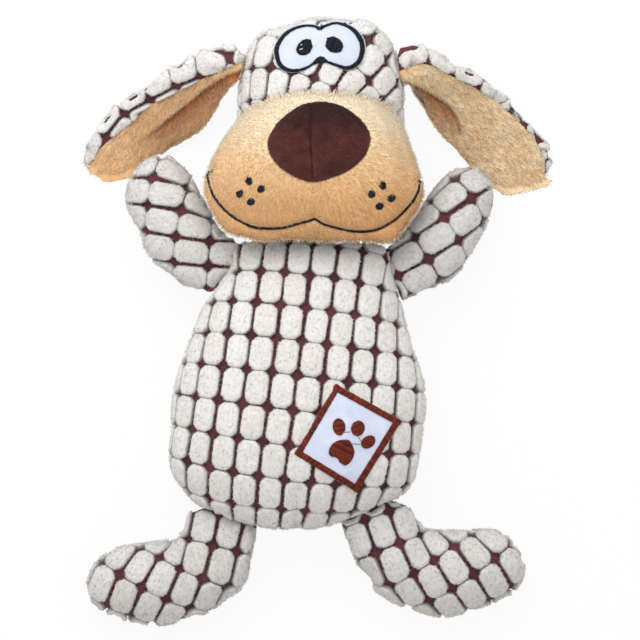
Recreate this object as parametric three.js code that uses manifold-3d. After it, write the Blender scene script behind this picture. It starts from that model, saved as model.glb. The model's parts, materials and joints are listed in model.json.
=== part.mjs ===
// A plush dog toy lying on its back: stuffed cloth forms, sewn together at neck, ears, shoulders and hips.
// Millimetres, +Z up out of the belly, +Y towards the head.
// Left and right are the toy's own sides, so left is +X.
// The origin is on the floor under the middle of the back.
import * as THREE from "three";
import { mergeVertices } from "three/addons/utils/BufferGeometryUtils.js";
import Module from "manifold-3d";

const wasm = await Module();
wasm.setup();

// Cloth and sewing
const stonePlush = 4; // cobbled plush, backing and pile together
const shortPlush = 3; // tan and brown short-pile plush
const felt = 1.1; // white ground of the eyes and of the belly patch
const stitching = 0.8; // how proud satin stitching stands
const seamGap = 0.3; // between pieces that are sewn or laid together
const hingeClearance = 0.4; // around each sewn root
const pressedFlat = 0.5; // how far each form is pressed flat by the floor
const farAway = 400; // overrun of every cutting block

// Facets
const ringSides = 16;
const capRings = 3; // of a sewn root's round end
const discSides = 12;
const dotSides = 8;

// Torso, a pear that leans a little to the toy's left
const torso = {
  length: 153,
  width: 135,
  frontSwell: 37,
  backSwell: 31,
  crotch: 66.8, // from the origin down to the crotch
  lean: 6.5,
  // [along from the crotch, half width, swell]
  shapeShares: [
    [0, 0, 0], [0.006, 0.27, 0.25], [0.04, 0.59, 0.53], [0.1, 0.82, 0.76], [0.19, 0.955, 0.93],
    [0.3, 0.985, 1], [0.42, 1, 1], [0.54, 0.955, 0.94], [0.66, 0.865, 0.84], [0.77, 0.77, 0.72],
    [0.86, 0.69, 0.6], [0.93, 0.625, 0.49], [0.975, 0.51, 0.37], [0.996, 0.26, 0.2], [1, 0, 0],
  ],
  // [along from the crotch, sideways]
  leanShares: [
    [0, -0.15], [0.2, -0.3], [0.38, -0.15], [0.54, 0], [0.66, 0.3], [0.77, 0.7], [0.86, 1], [1, 1],
  ],
};

// Neck: a gathered root sewn into the chest, which the head tips on
const neck = {
  rootRadius: 8,
  rootWidth: 48,
  seat: 2.8, // how deep the root sits in the chest
  height: 36, // of the seam above the floor
  reach: 19, // how far it runs up into the skull
  flare: 30, // depth where it meets the skull
  shapeShares: [[0.3, 1, 0.6], [0.6, 1, 0.9], [0.85, 0.8, 0.9], [1, 0, 0]],
};

// Head: a skull with a muzzle swelling out of its front, both measured from the neck seam
const skull = {
  start: 9.5,
  length: 101.5,
  width: 89,
  frontSwell: 34,
  backSwell: 31,
  lean: 4.8, // how far the crown leans to the toy's left of the neck
  leanReach: 50, // from the neck seam up to where it has leaned that far
  shapeShares: [
    [0, 0, 0], [0.02, 0.42, 0.4], [0.08, 0.74, 0.7], [0.22, 0.95, 0.93], [0.42, 1, 1], [0.62, 1, 1],
    [0.76, 0.94, 0.97], [0.87, 0.83, 0.88], [0.945, 0.67, 0.74], [0.985, 0.43, 0.5], [1, 0, 0],
  ],
};
const muzzle = {
  chinDrop: 10.4, // how far the chin hangs past the neck seam
  length: 86,
  width: 116,
  frontSwell: 44,
  backSwell: 9,
  shapeShares: [
    [0, 0, 0], [0.015, 0.4, 0.15], [0.06, 0.7, 0.36], [0.14, 0.86, 0.62], [0.24, 0.96, 0.84],
    [0.34, 1, 0.95], [0.45, 0.98, 1], [0.58, 0.91, 1], [0.71, 0.81, 0.94], [0.82, 0.7, 0.8],
    [0.9, 0.55, 0.6], [0.96, 0.36, 0.36], [0.99, 0.16, 0.16], [1, 0, 0],
  ],
};
const headSeam = {
  chinHeight: 62,
  cheekHeight: 40,
  crownHeight: 30.5,
  // [along from the chin to the crown, rise above the cheeks' height towards the chin's]
  chinShares: [[0, 1], [0.085, 0.8], [0.165, 0.54], [0.27, 0.25], [0.42, 0]],
};

// Nose, set into the muzzle
const nose = {
  length: 42,
  width: 53,
  frontSwell: 13,
  backSwell: 12,
  above: 23, // from the neck seam up to its lower tip
  aside: 2.6, // to the toy's left of the head's middle
  sunk: 2, // how far its widest line lies below the muzzle's surface
  shapeShares: [
    [0, 0, 0], [0.03, 0.2, 0.35], [0.14, 0.45, 0.65], [0.3, 0.76, 0.88], [0.48, 0.97, 1],
    [0.64, 1, 1], [0.8, 0.88, 0.9], [0.92, 0.6, 0.66], [0.98, 0.3, 0.36], [1, 0, 0],
  ],
};

// Eyes: one white felt with two lobes, a stitched outline and two stitched pupils
const eyes = {
  lobeWidth: 24.5,
  lobeHeight: 25,
  apart: 23, // between the lobes' middles
  aboveMuzzle: 5.5, // from the muzzle's upper edge up to the lobes' lower edge
  aside: 0.2, // to the toy's left of the head's middle
  outline: 2.2, // width of the stitched outline
  tilt: 3, // degrees, the left eye higher
  pupil: 8.6, // diameter
  leftPupilInward: 4.4,
  rightPupilInward: 3.9,
};

// Mouth line and whisker dots, all stitched.
// In shares of the muzzle: [aside from the head's middle, above the neck seam]
const mouth = {
  thread: 1.8,
  lineShares: [
    [-0.462, 0.37], [-0.45, 0.24], [-0.37, 0.1], [-0.22, 0.01], [-0.08, 0.0], [0.03, 0.045],
    [0.14, 0.003], [0.28, -0.01], [0.4, 0.06], [0.46, 0.15], [0.49, 0.26],
  ],
  steps: 16,
};
const whiskers = {
  dot: 3.4,
  rightShares: [[-0.3, 0.29], [-0.342, 0.216], [-0.247, 0.243], [-0.293, 0.168]],
  leftShares: [[0.296, 0.265], [0.246, 0.213], [0.335, 0.188], [0.283, 0.139]],
};

// Belly patch: a white square with a stitched border and a stitched paw
const patch = {
  width: 38.5,
  length: 44,
  border: 3.2,
  corner: 1.5,
  aside: 24.9, // to the toy's left of the origin
  below: 19.7,
  turn: -28.5, // degrees
  padWidth: 13,
  padLength: 11.5,
  padBelow: 6, // from the patch's middle to the pad's middle
  toeWidth: 6.6,
  toeLength: 8.2,
  toeSpread: 12, // from the pad's middle to a toe's middle
  toeTurns: [48, 0, -48], // degrees from the pad's own axis
};

// Ears: a cobbled layer behind a tan layer, curling up along the upper edge
const ear = {
  rootRadius: 3.6,
  rootWidth: 22,
  width: 39,
  tanSwell: 3.6,
  stoneSwell: 4.6,
  curl: 16, // how far the upper edge curls up
  liningGap: 0.6, // between the two layers, which both follow the curl
  seat: 1.8,
  rootHeight: 37,
  rest: 6, // height of the cloth's middle where the ear lies on the floor
  tilt: 8, // degrees, the upper edge higher
  // [along from the seam, half width, swell]
  shapeShares: [
    [0.05, 0.61, 1], [0.1, 0.67, 1], [0.16, 0.76, 1], [0.23, 0.85, 1], [0.33, 0.94, 1],
    [0.45, 0.99, 1], [0.6, 1, 1], [0.76, 0.94, 1], [0.88, 0.76, 0.9], [0.955, 0.5, 0.6],
    [0.99, 0.25, 0.3], [1, 0, 0],
  ],
};
const rightEar = {
  ...ear,
  reach: 67,
  above: 82.5, // from the neck seam up to the ear's seam
  turn: -10, // degrees from straight out to the side
  upperSide: 1,
  // [sideways, outwards, droop]
  spineShares: [
    [-0.02, 0.11, 0.06], [-0.08, 0.18, 0.18], [-0.23, 0.31, 0.46], [-0.4, 0.45, 0.7],
    [-0.57, 0.6, 0.88], [-0.78, 0.76, 0.98], [-1, 0.89, 1], [-1.2, 0.945, 1],
  ],
};
const leftEar = {
  ...ear,
  width: 41,
  reach: 57,
  above: 84.5,
  turn: 10,
  upperSide: -1,
  spineShares: [
    [0.012, 0.13, 0.04], [0.06, 0.215, 0.12], [0.15, 0.3, 0.25], [0.32, 0.4, 0.43],
    [0.54, 0.52, 0.63], [0.8, 0.66, 0.8], [1.08, 0.79, 0.92], [1.4, 0.91, 1], [1.74, 0.99, 1],
  ],
};

// Arms, each sewn to the torso's side seam and swelling to the paw
const arm = {
  rootRadius: 5,
  rootWidth: 29,
  width: 35,
  depth: 33,
  seat: 3,
  shapeShares: [
    [0.07, 0.86, 0.31], [0.18, 0.94, 0.62], [0.32, 1, 0.86], [0.48, 1, 1], [0.66, 0.98, 1],
    [0.81, 0.88, 0.93], [0.92, 0.65, 0.7], [0.98, 0.34, 0.38], [1, 0, 0],
  ],
};
const rightArm = {
  ...arm,
  width: 37.1,
  reach: 63.2,
  seamShare: 0.878, // where on the torso's side the seam's middle is
  turn: 10, // degrees that the limb turns from straight out of the torso's edge
  spineShares: [[0.03, 0.34, 0.4], [0.12, 0.5, 0.7], [0.27, 0.73, 1], [0.5, 0.97, 1]],
};
const leftArm = {
  ...arm,
  width: 35.2,
  reach: 56.6,
  seamShare: 0.876,
  turn: 12,
  spineShares: [[-0.15, 0.44, 0.45], [-0.3, 0.68, 0.8], [-0.45, 0.86, 1], [-0.65, 1, 1]],
};

// Legs: a shin sewn to the torso's lower seam, and a foot across its end that points outwards
const leg = {
  rootRadius: 5.5,
  rootWidth: 36,
  width: 43,
  depth: 35,
  seat: 3,
  reach: 46, // of the shin
  shapeShares: [
    [0.11, 0.85, 0.32], [0.24, 0.93, 0.62], [0.42, 1, 0.88], [0.62, 1, 1], [0.82, 0.8, 0.84],
    [0.95, 0.45, 0.48], [1, 0, 0],
  ],
  spineShares: [[0, 0.4, 0.5], [0, 0.7, 0.9], [0, 1, 1]],
};
const foot = {
  width: 42,
  length: 86,
  depth: 36,
  shapeShares: [
    [0, 0, 0], [0.03, 0.4, 0.42], [0.1, 0.73, 0.72], [0.22, 0.95, 0.93], [0.4, 1, 1], [0.6, 1, 1],
    [0.77, 0.93, 0.92], [0.9, 0.7, 0.72], [0.97, 0.4, 0.43], [1, 0, 0],
  ],
};
// The heel lies heelOut from the hip seam and heelBack from the shin's middle.
// The foot turns footTurn degrees from the shin's line.
const rightLeg = {
  ...leg,
  seamShare: 0.035,
  turn: -7,
  heelOut: 19.5,
  heelBack: 20,
  footTurn: -64,
  toeSide: 1,
};
const leftLeg = {
  ...leg,
  seamShare: 0.039,
  turn: 3,
  heelOut: 22,
  heelBack: 16,
  footTurn: 65,
  toeSide: -1,
};

// Squeaker: a blown plastic capsule with a reed in its nozzle, in a pocket of the belly's stuffing
const squeaker = {
  radius: 21,
  height: 20,
  wall: 1.2,
  rim: 5, // how far out the flat ends stop short of the full radius
  nozzleRadius: 4.5,
  nozzleLength: 5,
  reedWall: 1.2,
  flange: 1.5, // how far the reed's flange stands past its tube
  flangeThickness: 1.2,
  pocketClearance: 0.5,
  slotWidth: 26, // parting in the stuffing that it was pushed in through
  slotThickness: 2.4,
  aside: -8,
  below: 14, // from the origin down to its middle
  lowerEnd: 22, // above the floor
  sides: 20,
};

const matt = (name, color, roughness) =>
  new THREE.MeshStandardMaterial({ name, color, roughness, metalness: 0 });
const materials = {
  stonePlush: matt("cobbled_plush", 0xe9e4dc, 0.95),
  tanPlush: matt("tan_plush", 0xe4b583, 0.9),
  brownPlush: matt("brown_plush", 0x55302f, 0.85),
  whiteFelt: matt("white_felt", 0xeef0fa, 0.9),
  blackThread: matt("black_thread", 0x16161c, 0.6),
  rustThread: matt("rust_thread", 0x702a1b, 0.55),
  stuffing: matt("fibre_stuffing", 0xf4f4f2, 1),
  plastic: matt("squeaker_plastic", 0xf2f2ee, 0.45),
};

const up = new THREE.Vector3(0, 0, 1);
const vector = (x, y, z) => new THREE.Vector3(x, y, z);
const radians = THREE.MathUtils.degToRad;
const { clamp, lerp, mapLinear } = THREE.MathUtils;
const curveThrough = (points) => new THREE.CatmullRomCurve3(points, false, "centripetal");

// A closed three.js geometry as a solid for cutting and joining
function solid(geometry, matrix) {
  const bare = geometry.clone();
  bare.deleteAttribute("normal");
  bare.deleteAttribute("uv");
  if (matrix) bare.applyMatrix4(matrix);
  const merged = mergeVertices(bare);
  return new wasm.Manifold(
    new wasm.Mesh({
      numProp: 3,
      vertProperties: merged.getAttribute("position").array,
      triVerts: new Uint32Array(merged.index.array),
    }),
  );
}

function meshOf(name, cut, material) {
  const { vertProperties, triVerts } = cut.getMesh();
  const geometry = new THREE.BufferGeometry();
  geometry.setAttribute("position", new THREE.BufferAttribute(vertProperties, 3));
  geometry.setIndex(new THREE.BufferAttribute(triVerts, 1));
  geometry.computeVertexNormals();
  const mesh = new THREE.Mesh(geometry, material);
  mesh.name = name;
  return mesh;
}

const joined = (solids) => solids.reduce((whole, next) => whole.add(next));

// The largest of the pieces that a cut leaves
const mainPiece = (cut) => cut.decompose().reduce((a, b) => (b.volume() > a.volume() ? b : a));

// The value at x of a line through [x, value] points
function valueAlong(points, x) {
  const found = points.findIndex((point) => point[0] >= x);
  const after = clamp(found < 0 ? points.length - 1 : found, 1, points.length - 1);
  const [[x0, y0], [x1, y1]] = [points[after - 1], points[after]];
  return mapLinear(x, x0, x1, y0, y1);
}

// A point of a spine and the directions across it there, also straight on past its ends
function spineFrame(spine, distance) {
  const length = spine.getLength();
  const share = clamp(distance / length, 0, 1);
  const tangent = spine.getTangentAt(share);
  const centre = spine.getPointAt(share).addScaledVector(tangent, distance - share * length);
  const side = tangent.clone().cross(up).normalize();
  const normal = side.clone().cross(tangent).normalize();
  return { centre, side, normal };
}

// One stuffed form: half-elliptical rings, front and back, along a spine, closed to a point at both ends.
// grow is how far its surface stands outside the form, or inside it when it is negative.
// lift moves the whole form along its normal, and curl bends one edge of it up.
function stuffedForm(form, grow = 0) {
  const { spine, width, frontSwell, backSwell, shapeShares } = form;
  const { rootWidth = 0, lift = 0, curl = 0, curlSide = 1 } = form;
  const length = spine.getLength() + 2 * grow;
  const rootShare = rootWidth / width;
  const last = shapeShares.length - 1;
  const positions = [];
  const offset = (size, share) => Math.max(size * share + grow, seamGap / 2);
  shapeShares.forEach(([alongShare, widthShare, swellShare], ring) => {
    const { centre, side, normal } = spineFrame(spine, alongShare * length - grow);
    centre.addScaledVector(normal, lift);
    if (ring === 0 || ring === last) {
      positions.push(...centre);
      return;
    }
    for (let k = 0; k < ringSides; k++) {
      const across = Math.cos((2 * Math.PI * k) / ringSides);
      const outwards = Math.sin((2 * Math.PI * k) / ringSides);
      const swell = outwards >= 0 ? frontSwell : backSwell;
      const height = swell === 0 ? 0 : outwards * offset(swell, swellShare);
      const bend = curl * Math.max(widthShare - rootShare, 0) * ((1 + curlSide * across) / 2) ** 2;
      const point = centre
        .clone()
        .addScaledVector(side, across * offset(width / 2, widthShare))
        .addScaledVector(normal, height + bend);
      positions.push(...point);
    }
  });
  const at = (ring, k) => 1 + (ring - 1) * ringSides + (k % ringSides);
  const tip = at(last, 0);
  const faces = [];
  for (let k = 0; k < ringSides; k++) {
    faces.push(0, at(1, k), at(1, k + 1));
    faces.push(tip, at(last - 1, k + 1), at(last - 1, k));
    for (let ring = 1; ring < last - 1; ring++) {
      faces.push(at(ring, k), at(ring + 1, k), at(ring + 1, k + 1));
      faces.push(at(ring, k), at(ring + 1, k + 1), at(ring, k + 1));
    }
  }
  const geometry = new THREE.BufferGeometry();
  geometry.setAttribute("position", new THREE.Float32BufferAttribute(positions, 3));
  geometry.setIndex(faces);
  return solid(geometry);
}

// A layer of cloth or stitching laid over a form, starting at this height above it
const layerOver = (form, base, thickness) =>
  stuffedForm(form, base + thickness).subtract(stuffedForm(form, base));

// A sewn seam as a frame: x along the seam, y straight out of it, z out of the toy's front
function seamFrame(point, outward, tiltDegrees = 0) {
  const side = outward.clone().cross(up).normalize();
  const tilt = radians(tiltDegrees);
  const along = side.clone().multiplyScalar(Math.cos(tilt)).addScaledVector(up, Math.sin(tilt));
  const front = up.clone().multiplyScalar(Math.cos(tilt)).addScaledVector(side, -Math.sin(tilt));
  return new THREE.Matrix4().makeBasis(along, outward, front).setPosition(point);
}

// The floor's block, which presses the backs flat, in a seam's own frame
function floorIn(frame) {
  const place = frame.clone().invert().multiply(new THREE.Matrix4().makeTranslation(0, 0, -farAway / 2));
  return solid(new THREE.BoxGeometry(2 * farAway, 2 * farAway, farAway), place);
}

// The hollow, round about a seam's axis, that a sewn root turns in
function rootSeat(frame, { rootRadius, rootWidth }) {
  const outside = 1 / Math.cos(Math.PI / ringSides) ** 2;
  const radius = (rootRadius + hingeClearance) * outside;
  const halfWidth = (rootWidth / 2 + hingeClearance) * outside;
  const ball = new THREE.SphereGeometry(1, ringSides, ringSides / 2).rotateZ(Math.PI / 2);
  return solid(ball.scale(halfWidth, radius, radius), frame);
}

// The shape of a form whose start is a root, round about its seam: [along, half width, swell]
function rootedShares({ rootRadius, rootWidth, width, shapeShares }, swell, length) {
  const outShare = (share) => (rootRadius + share * (length - rootRadius)) / length;
  const cap = Array.from({ length: capRings + 1 }, (_, i) => {
    const angle = (i * Math.PI) / 2 / capRings;
    const round = Math.sin(angle);
    const alongShare = (rootRadius * (1 - Math.cos(angle))) / length;
    return [alongShare, (round * rootWidth) / width, (round * rootRadius) / swell];
  });
  return [...cap, ...shapeShares.map(([share, ...rest]) => [outShare(share), ...rest])];
}

// The spine of a rooted form: straight through its seam, then aside, out and down to its resting height
function rootedSpine({ rootRadius, reach, spineShares }, droop) {
  const points = spineShares.map(([sideShare, outShare, droopShare]) =>
    vector(sideShare * reach, outShare * reach, -droopShare * droop),
  );
  return curveThrough([vector(0, -rootRadius, 0), vector(0, 0, 0), vector(0, rootRadius, 0), ...points]);
}

// The space in front of or behind a sewn seam, whose line is given as [outwards, height] points
function besideSeam(line, front) {
  const gap = front ? seamGap / 2 : -seamGap / 2;
  const far = front ? farAway : -farAway;
  const outline = new THREE.Shape();
  outline.moveTo(-farAway, line[0][1] + gap);
  for (const [out, height] of line) outline.lineTo(out, height + gap);
  outline.lineTo(farAway, line.at(-1)[1] + gap);
  outline.lineTo(farAway, far);
  outline.lineTo(-farAway, far);
  const slab = new THREE.ExtrudeGeometry(outline, { depth: 2 * farAway, bevelEnabled: false });
  const turn = new THREE.Matrix4().makeBasis(vector(0, 1, 0), up, vector(1, 0, 0));
  return solid(slab, turn.setPosition(-farAway, 0, 0));
}

// A flat outline as a cutter that runs up through everything in front of the seam
const throughFront = (shape) =>
  solid(new THREE.ExtrudeGeometry(shape, { depth: farAway, bevelEnabled: false }));

function discAt(x, y, width, length, turnDegrees = 0, sides = discSides) {
  const shape = new THREE.Shape();
  shape.absellipse(x, y, width / 2, length / 2, 0, 2 * Math.PI, false, radians(turnDegrees));
  const points = shape.getPoints(sides).slice(0, -1);
  return throughFront(new THREE.Shape(points));
}

// Torso
const torsoHeight = torso.backSwell - pressedFlat;
const torsoSpine = curveThrough(
  torso.leanShares.map(([alongShare, leanShare]) =>
    vector(leanShare * torso.lean, alongShare * torso.length - torso.crotch, torsoHeight),
  ),
);
const torsoForm = { ...torso, spine: torsoSpine };

// A seam on the torso's side edge, for the limb that is sewn on there
function torsoSeam({ seamShare, turn, rootRadius, seat }, sideSign) {
  const widths = torso.shapeShares.map(([alongShare, widthShare]) => [alongShare, widthShare]);
  const edgeAt = (share) => {
    const { centre, side } = spineFrame(torsoSpine, share * torsoSpine.getLength());
    return centre.addScaledVector(side, (sideSign * valueAlong(widths, share) * torso.width) / 2);
  };
  const nearShare = 0.03;
  const edge = edgeAt(seamShare + nearShare).sub(edgeAt(seamShare - nearShare));
  const outward = edge.cross(up).multiplyScalar(sideSign).normalize();
  outward.applyAxisAngle(up, radians(turn));
  return seamFrame(edgeAt(seamShare).addScaledVector(outward, rootRadius - seat), outward);
}

const chestEnd = torsoSpine.getPointAt(1);
const neckFrame = seamFrame(
  vector(chestEnd.x, chestEnd.y + neck.rootRadius - neck.seat, neck.height),
  vector(0, 1, 0),
);
const headMiddle = (out) => skull.lean * clamp(out / skull.leanReach, -1, 1);
const headPoint = (out, height) => vector(headMiddle(out), out, height - neck.height);

// Head
const chinToCrown = muzzle.chinDrop + skull.start + skull.length;
const headSeamLine = [
  ...headSeam.chinShares.map(([alongShare, riseShare]) => [
    alongShare * chinToCrown - muzzle.chinDrop,
    lerp(headSeam.cheekHeight, headSeam.chinHeight, riseShare) - neck.height,
  ]),
  [skull.start + skull.length, headSeam.crownHeight - neck.height],
];
const seamHeight = (out) => valueAlong(headSeamLine, out) + neck.height;
const skullHeight = skull.backSwell - pressedFlat;
const skullForm = {
  ...skull,
  spine: curveThrough(
    [skull.start, skull.leanReach, skull.start + skull.length].map((out) => headPoint(out, skullHeight)),
  ),
};
const muzzleOuts = muzzle.shapeShares.map(([alongShare]) => alongShare * muzzle.length - muzzle.chinDrop);
const muzzleSpine = curveThrough(muzzleOuts.map((out) => headPoint(out, seamHeight(out))));
const muzzleForm = { ...muzzle, spine: muzzleSpine };
const neckSpine = curveThrough([
  vector(0, -neck.rootRadius, 0),
  vector(0, neck.rootRadius, 0),
  vector(headMiddle(neck.reach), neck.reach, 0),
]);
const neckForm = {
  width: neck.rootWidth,
  frontSwell: neck.flare / 2,
  backSwell: neck.flare / 2,
  spine: neckSpine,
  shapeShares: rootedShares({ ...neck, width: neck.rootWidth }, neck.flare / 2, neckSpine.getLength()),
};

// How high the muzzle's front stands above the neck seam's plane
function muzzleTop(out) {
  const swells = muzzle.shapeShares.map(([alongShare, , swellShare]) => [alongShare, swellShare]);
  const share = (out + muzzle.chinDrop) / muzzle.length;
  return seamHeight(out) - neck.height + valueAlong(swells, share) * muzzle.frontSwell;
}

function headParts(earSeats) {
  const skullOuter = stuffedForm(skullForm);
  const skullInner = stuffedForm(skullForm, -stonePlush);
  const muzzleOuter = stuffedForm(muzzleForm);
  const muzzleInner = stuffedForm(muzzleForm, -shortPlush);
  const inFront = besideSeam(headSeamLine, true);
  const behind = besideSeam(headSeamLine, false);
  const seats = joined(earSeats).transform(neckFrame.clone().invert().elements);
  const whole = joined([skullOuter, muzzleOuter, stuffedForm(neckForm)]).subtract(seats);
  const back = whole.subtract(skullInner.add(muzzleInner)).intersect(behind).subtract(floorIn(neckFrame));
  const crown = skullOuter.subtract(seats).subtract(skullInner).subtract(stuffedForm(muzzleForm, seamGap));
  const face = muzzleOuter.subtract(muzzleInner).subtract(skullInner);
  const skullFilling = stuffedForm(skullForm, -stonePlush - seamGap);
  const filling = skullFilling.add(stuffedForm(muzzleForm, -shortPlush - seamGap));
  return [
    meshOf("head_back_panel", mainPiece(back), materials.stonePlush),
    meshOf("head_crown_panel", mainPiece(crown.intersect(inFront)), materials.stonePlush),
    meshOf("muzzle_panel", mainPiece(face.intersect(inFront)), materials.tanPlush),
    meshOf("head_stuffing", mainPiece(filling), materials.stuffing),
  ];
}

function noseParts() {
  const lowEnd = nose.above;
  const highEnd = nose.above + nose.length;
  const spine = curveThrough([
    headPoint(lowEnd, muzzleTop(lowEnd) + neck.height - nose.sunk),
    headPoint(highEnd, muzzleTop(highEnd) + neck.height - nose.sunk),
  ]);
  const form = { ...nose, spine };
  const place = new THREE.Matrix4().makeTranslation(nose.aside, 0, 0);
  const onMuzzle = (cut) => cut.transform(place.elements).subtract(stuffedForm(muzzleForm, seamGap));
  const cover = stuffedForm(form).subtract(stuffedForm(form, -shortPlush));
  const half = (sideSign) => {
    const middle = headMiddle(lowEnd) + (sideSign * (farAway + seamGap)) / 2;
    const block = new THREE.BoxGeometry(farAway, farAway, farAway);
    return solid(block, new THREE.Matrix4().makeTranslation(middle, 0, 0));
  };
  const filling = onMuzzle(stuffedForm(form, -shortPlush - seamGap));
  return [
    meshOf("nose_left_panel", mainPiece(onMuzzle(cover.intersect(half(1)))), materials.brownPlush),
    meshOf("nose_right_panel", mainPiece(onMuzzle(cover.intersect(half(-1)))), materials.brownPlush),
    meshOf("nose_stuffing", mainPiece(filling), materials.stuffing),
  ];
}

function eyeParts() {
  const muzzleTop = muzzle.length - muzzle.chinDrop;
  const above = muzzleTop + eyes.aboveMuzzle + eyes.lobeHeight / 2;
  const middle = vector(headMiddle(above) + eyes.aside, above, 0);
  const along = vector(1, 0, 0).applyAxisAngle(up, radians(eyes.tilt));
  const place = (distance) => middle.clone().addScaledVector(along, distance);
  const lobes = (inset) =>
    joined(
      [-1, 1].map((sideSign) => {
        const { x, y } = place((sideSign * eyes.apart) / 2);
        return discAt(x, y, eyes.lobeWidth - 2 * inset, eyes.lobeHeight - 2 * inset, eyes.tilt);
      }),
    );
  const ground = layerOver(skullForm, seamGap, felt);
  const stitches = layerOver(skullForm, 2 * seamGap + felt, stitching);
  const pupil = (distance) => {
    const { x, y } = place(distance);
    return stitches.intersect(discAt(x, y, eyes.pupil, eyes.pupil));
  };
  const rim = lobes(0).subtract(lobes(eyes.outline));
  return [
    meshOf("eye_felt", ground.intersect(lobes(0)), materials.whiteFelt),
    meshOf("eye_outline_stitching", stitches.intersect(rim), materials.blackThread),
    meshOf("pupil_left", pupil(eyes.apart / 2 - eyes.leftPupilInward), materials.blackThread),
    meshOf("pupil_right", pupil(-eyes.apart / 2 + eyes.rightPupilInward), materials.blackThread),
  ];
}

// A point of the muzzle given as shares of its width and length
function onMuzzleAt([asideShare, aboveShare]) {
  const above = aboveShare * muzzle.length;
  return vector(headMiddle(above) + asideShare * muzzle.width, above, 0);
}

function mouthParts() {
  const line = curveThrough(mouth.lineShares.map(onMuzzleAt));
  const beside = (sideSign) =>
    Array.from({ length: mouth.steps + 1 }, (_, i) => {
      const { centre, side } = spineFrame(line, (i / mouth.steps) * line.getLength());
      const { x, y } = centre.addScaledVector(side, (sideSign * mouth.thread) / 2);
      return new THREE.Vector2(x, y);
    });
  const band = new THREE.Shape([...beside(1), ...beside(-1).reverse()]);
  const stitches = layerOver(muzzleForm, seamGap, stitching);
  const dots = (name, places) =>
    places.map((place, i) => {
      const { x, y } = onMuzzleAt(place);
      const dot = stitches.intersect(discAt(x, y, whiskers.dot, whiskers.dot, 0, dotSides));
      return meshOf(`${name}_${i + 1}`, mainPiece(dot), materials.blackThread);
    });
  return [
    meshOf("mouth_stitching", mainPiece(stitches.intersect(throughFront(band))), materials.blackThread),
    ...dots("whisker_dot_right", whiskers.rightShares),
    ...dots("whisker_dot_left", whiskers.leftShares),
  ];
}

// Head side seam for an ear
function earSeam({ above, rootHeight, rootRadius, seat, turn, tilt, upperSide }, sideSign) {
  const widths = skull.shapeShares.map(([alongShare, widthShare]) => [alongShare, widthShare]);
  const halfWidth = (valueAlong(widths, (above - skull.start) / skull.length) * skull.width) / 2;
  const rise = (rootHeight - skullHeight) / skull.frontSwell;
  const aside = headMiddle(above) + sideSign * halfWidth * Math.sqrt(1 - rise ** 2);
  const outward = vector(sideSign, 0, 0).applyAxisAngle(up, radians(turn));
  const edge = vector(aside, above, rootHeight - neck.height).applyMatrix4(neckFrame);
  return seamFrame(edge.addScaledVector(outward, rootRadius - seat), outward, upperSide * tilt);
}

function earParts(name, shape, frame) {
  const spine = rootedSpine(shape, shape.rootHeight - shape.rest);
  const layer = (frontSwell, backSwell, lift) => {
    const shapeShares = rootedShares(shape, frontSwell + backSwell, spine.getLength());
    const form = { ...shape, spine, frontSwell, backSwell, shapeShares, lift, curlSide: shape.upperSide };
    return stuffedForm(form).subtract(floorIn(frame));
  };
  return [
    meshOf(`${name}_tan_panel`, layer(shape.tanSwell, 0, shape.liningGap / 2), materials.tanPlush),
    meshOf(`${name}_cobbled_panel`, layer(0, shape.stoneSwell, -shape.liningGap / 2), materials.stonePlush),
  ];
}

// A limb's front and back panels and the stuffing in them, from the forms that swell into each other
function limbParts(name, forms, limb, droop, frame) {
  const whole = (grow) => joined(forms.map((form) => stuffedForm(form, grow)));
  const hemAt = (out) => {
    const block = new THREE.BoxGeometry(farAway, farAway, farAway);
    return solid(block, new THREE.Matrix4().makeTranslation(0, out - farAway / 2, 0));
  };
  const hem = 2 * limb.rootRadius;
  const cloth = whole(0).subtract(whole(-stonePlush).subtract(hemAt(hem)));
  const seam = [
    [limb.rootRadius, 0],
    [limb.reach / 2, -droop],
  ];
  const front = cloth.intersect(besideSeam(seam, true));
  const back = cloth.intersect(besideSeam(seam, false)).subtract(floorIn(frame));
  const filling = whole(-stonePlush - seamGap).subtract(hemAt(hem + seamGap));
  return [
    meshOf(`${name}_front_panel`, mainPiece(front), materials.stonePlush),
    meshOf(`${name}_back_panel`, mainPiece(back), materials.stonePlush),
    meshOf(`${name}_stuffing`, mainPiece(filling), materials.stuffing),
  ];
}

function rootedForm(limb, droop) {
  const spine = rootedSpine(limb, droop);
  const swell = limb.depth / 2;
  const shapeShares = rootedShares(limb, swell, spine.getLength());
  return { ...limb, spine, frontSwell: swell, backSwell: swell, shapeShares };
}

function armParts(name, limb, frame) {
  const droop = torsoHeight - (limb.depth / 2 - pressedFlat);
  return limbParts(name, [rootedForm(limb, droop)], limb, droop, frame);
}

function legParts(name, limb, frame) {
  const droop = torsoHeight - (foot.depth / 2 - pressedFlat);
  const shin = rootedForm(limb, droop);
  const heel = vector(-limb.toeSide * limb.heelBack, limb.heelOut, -droop);
  const toes = vector(0, foot.length, 0).applyAxisAngle(up, radians(limb.footTurn)).add(heel);
  const swell = foot.depth / 2;
  const sole = { ...foot, spine: curveThrough([heel, toes]), frontSwell: swell, backSwell: swell };
  return limbParts(name, [shin, sole], limb, droop, frame);
}

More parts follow.
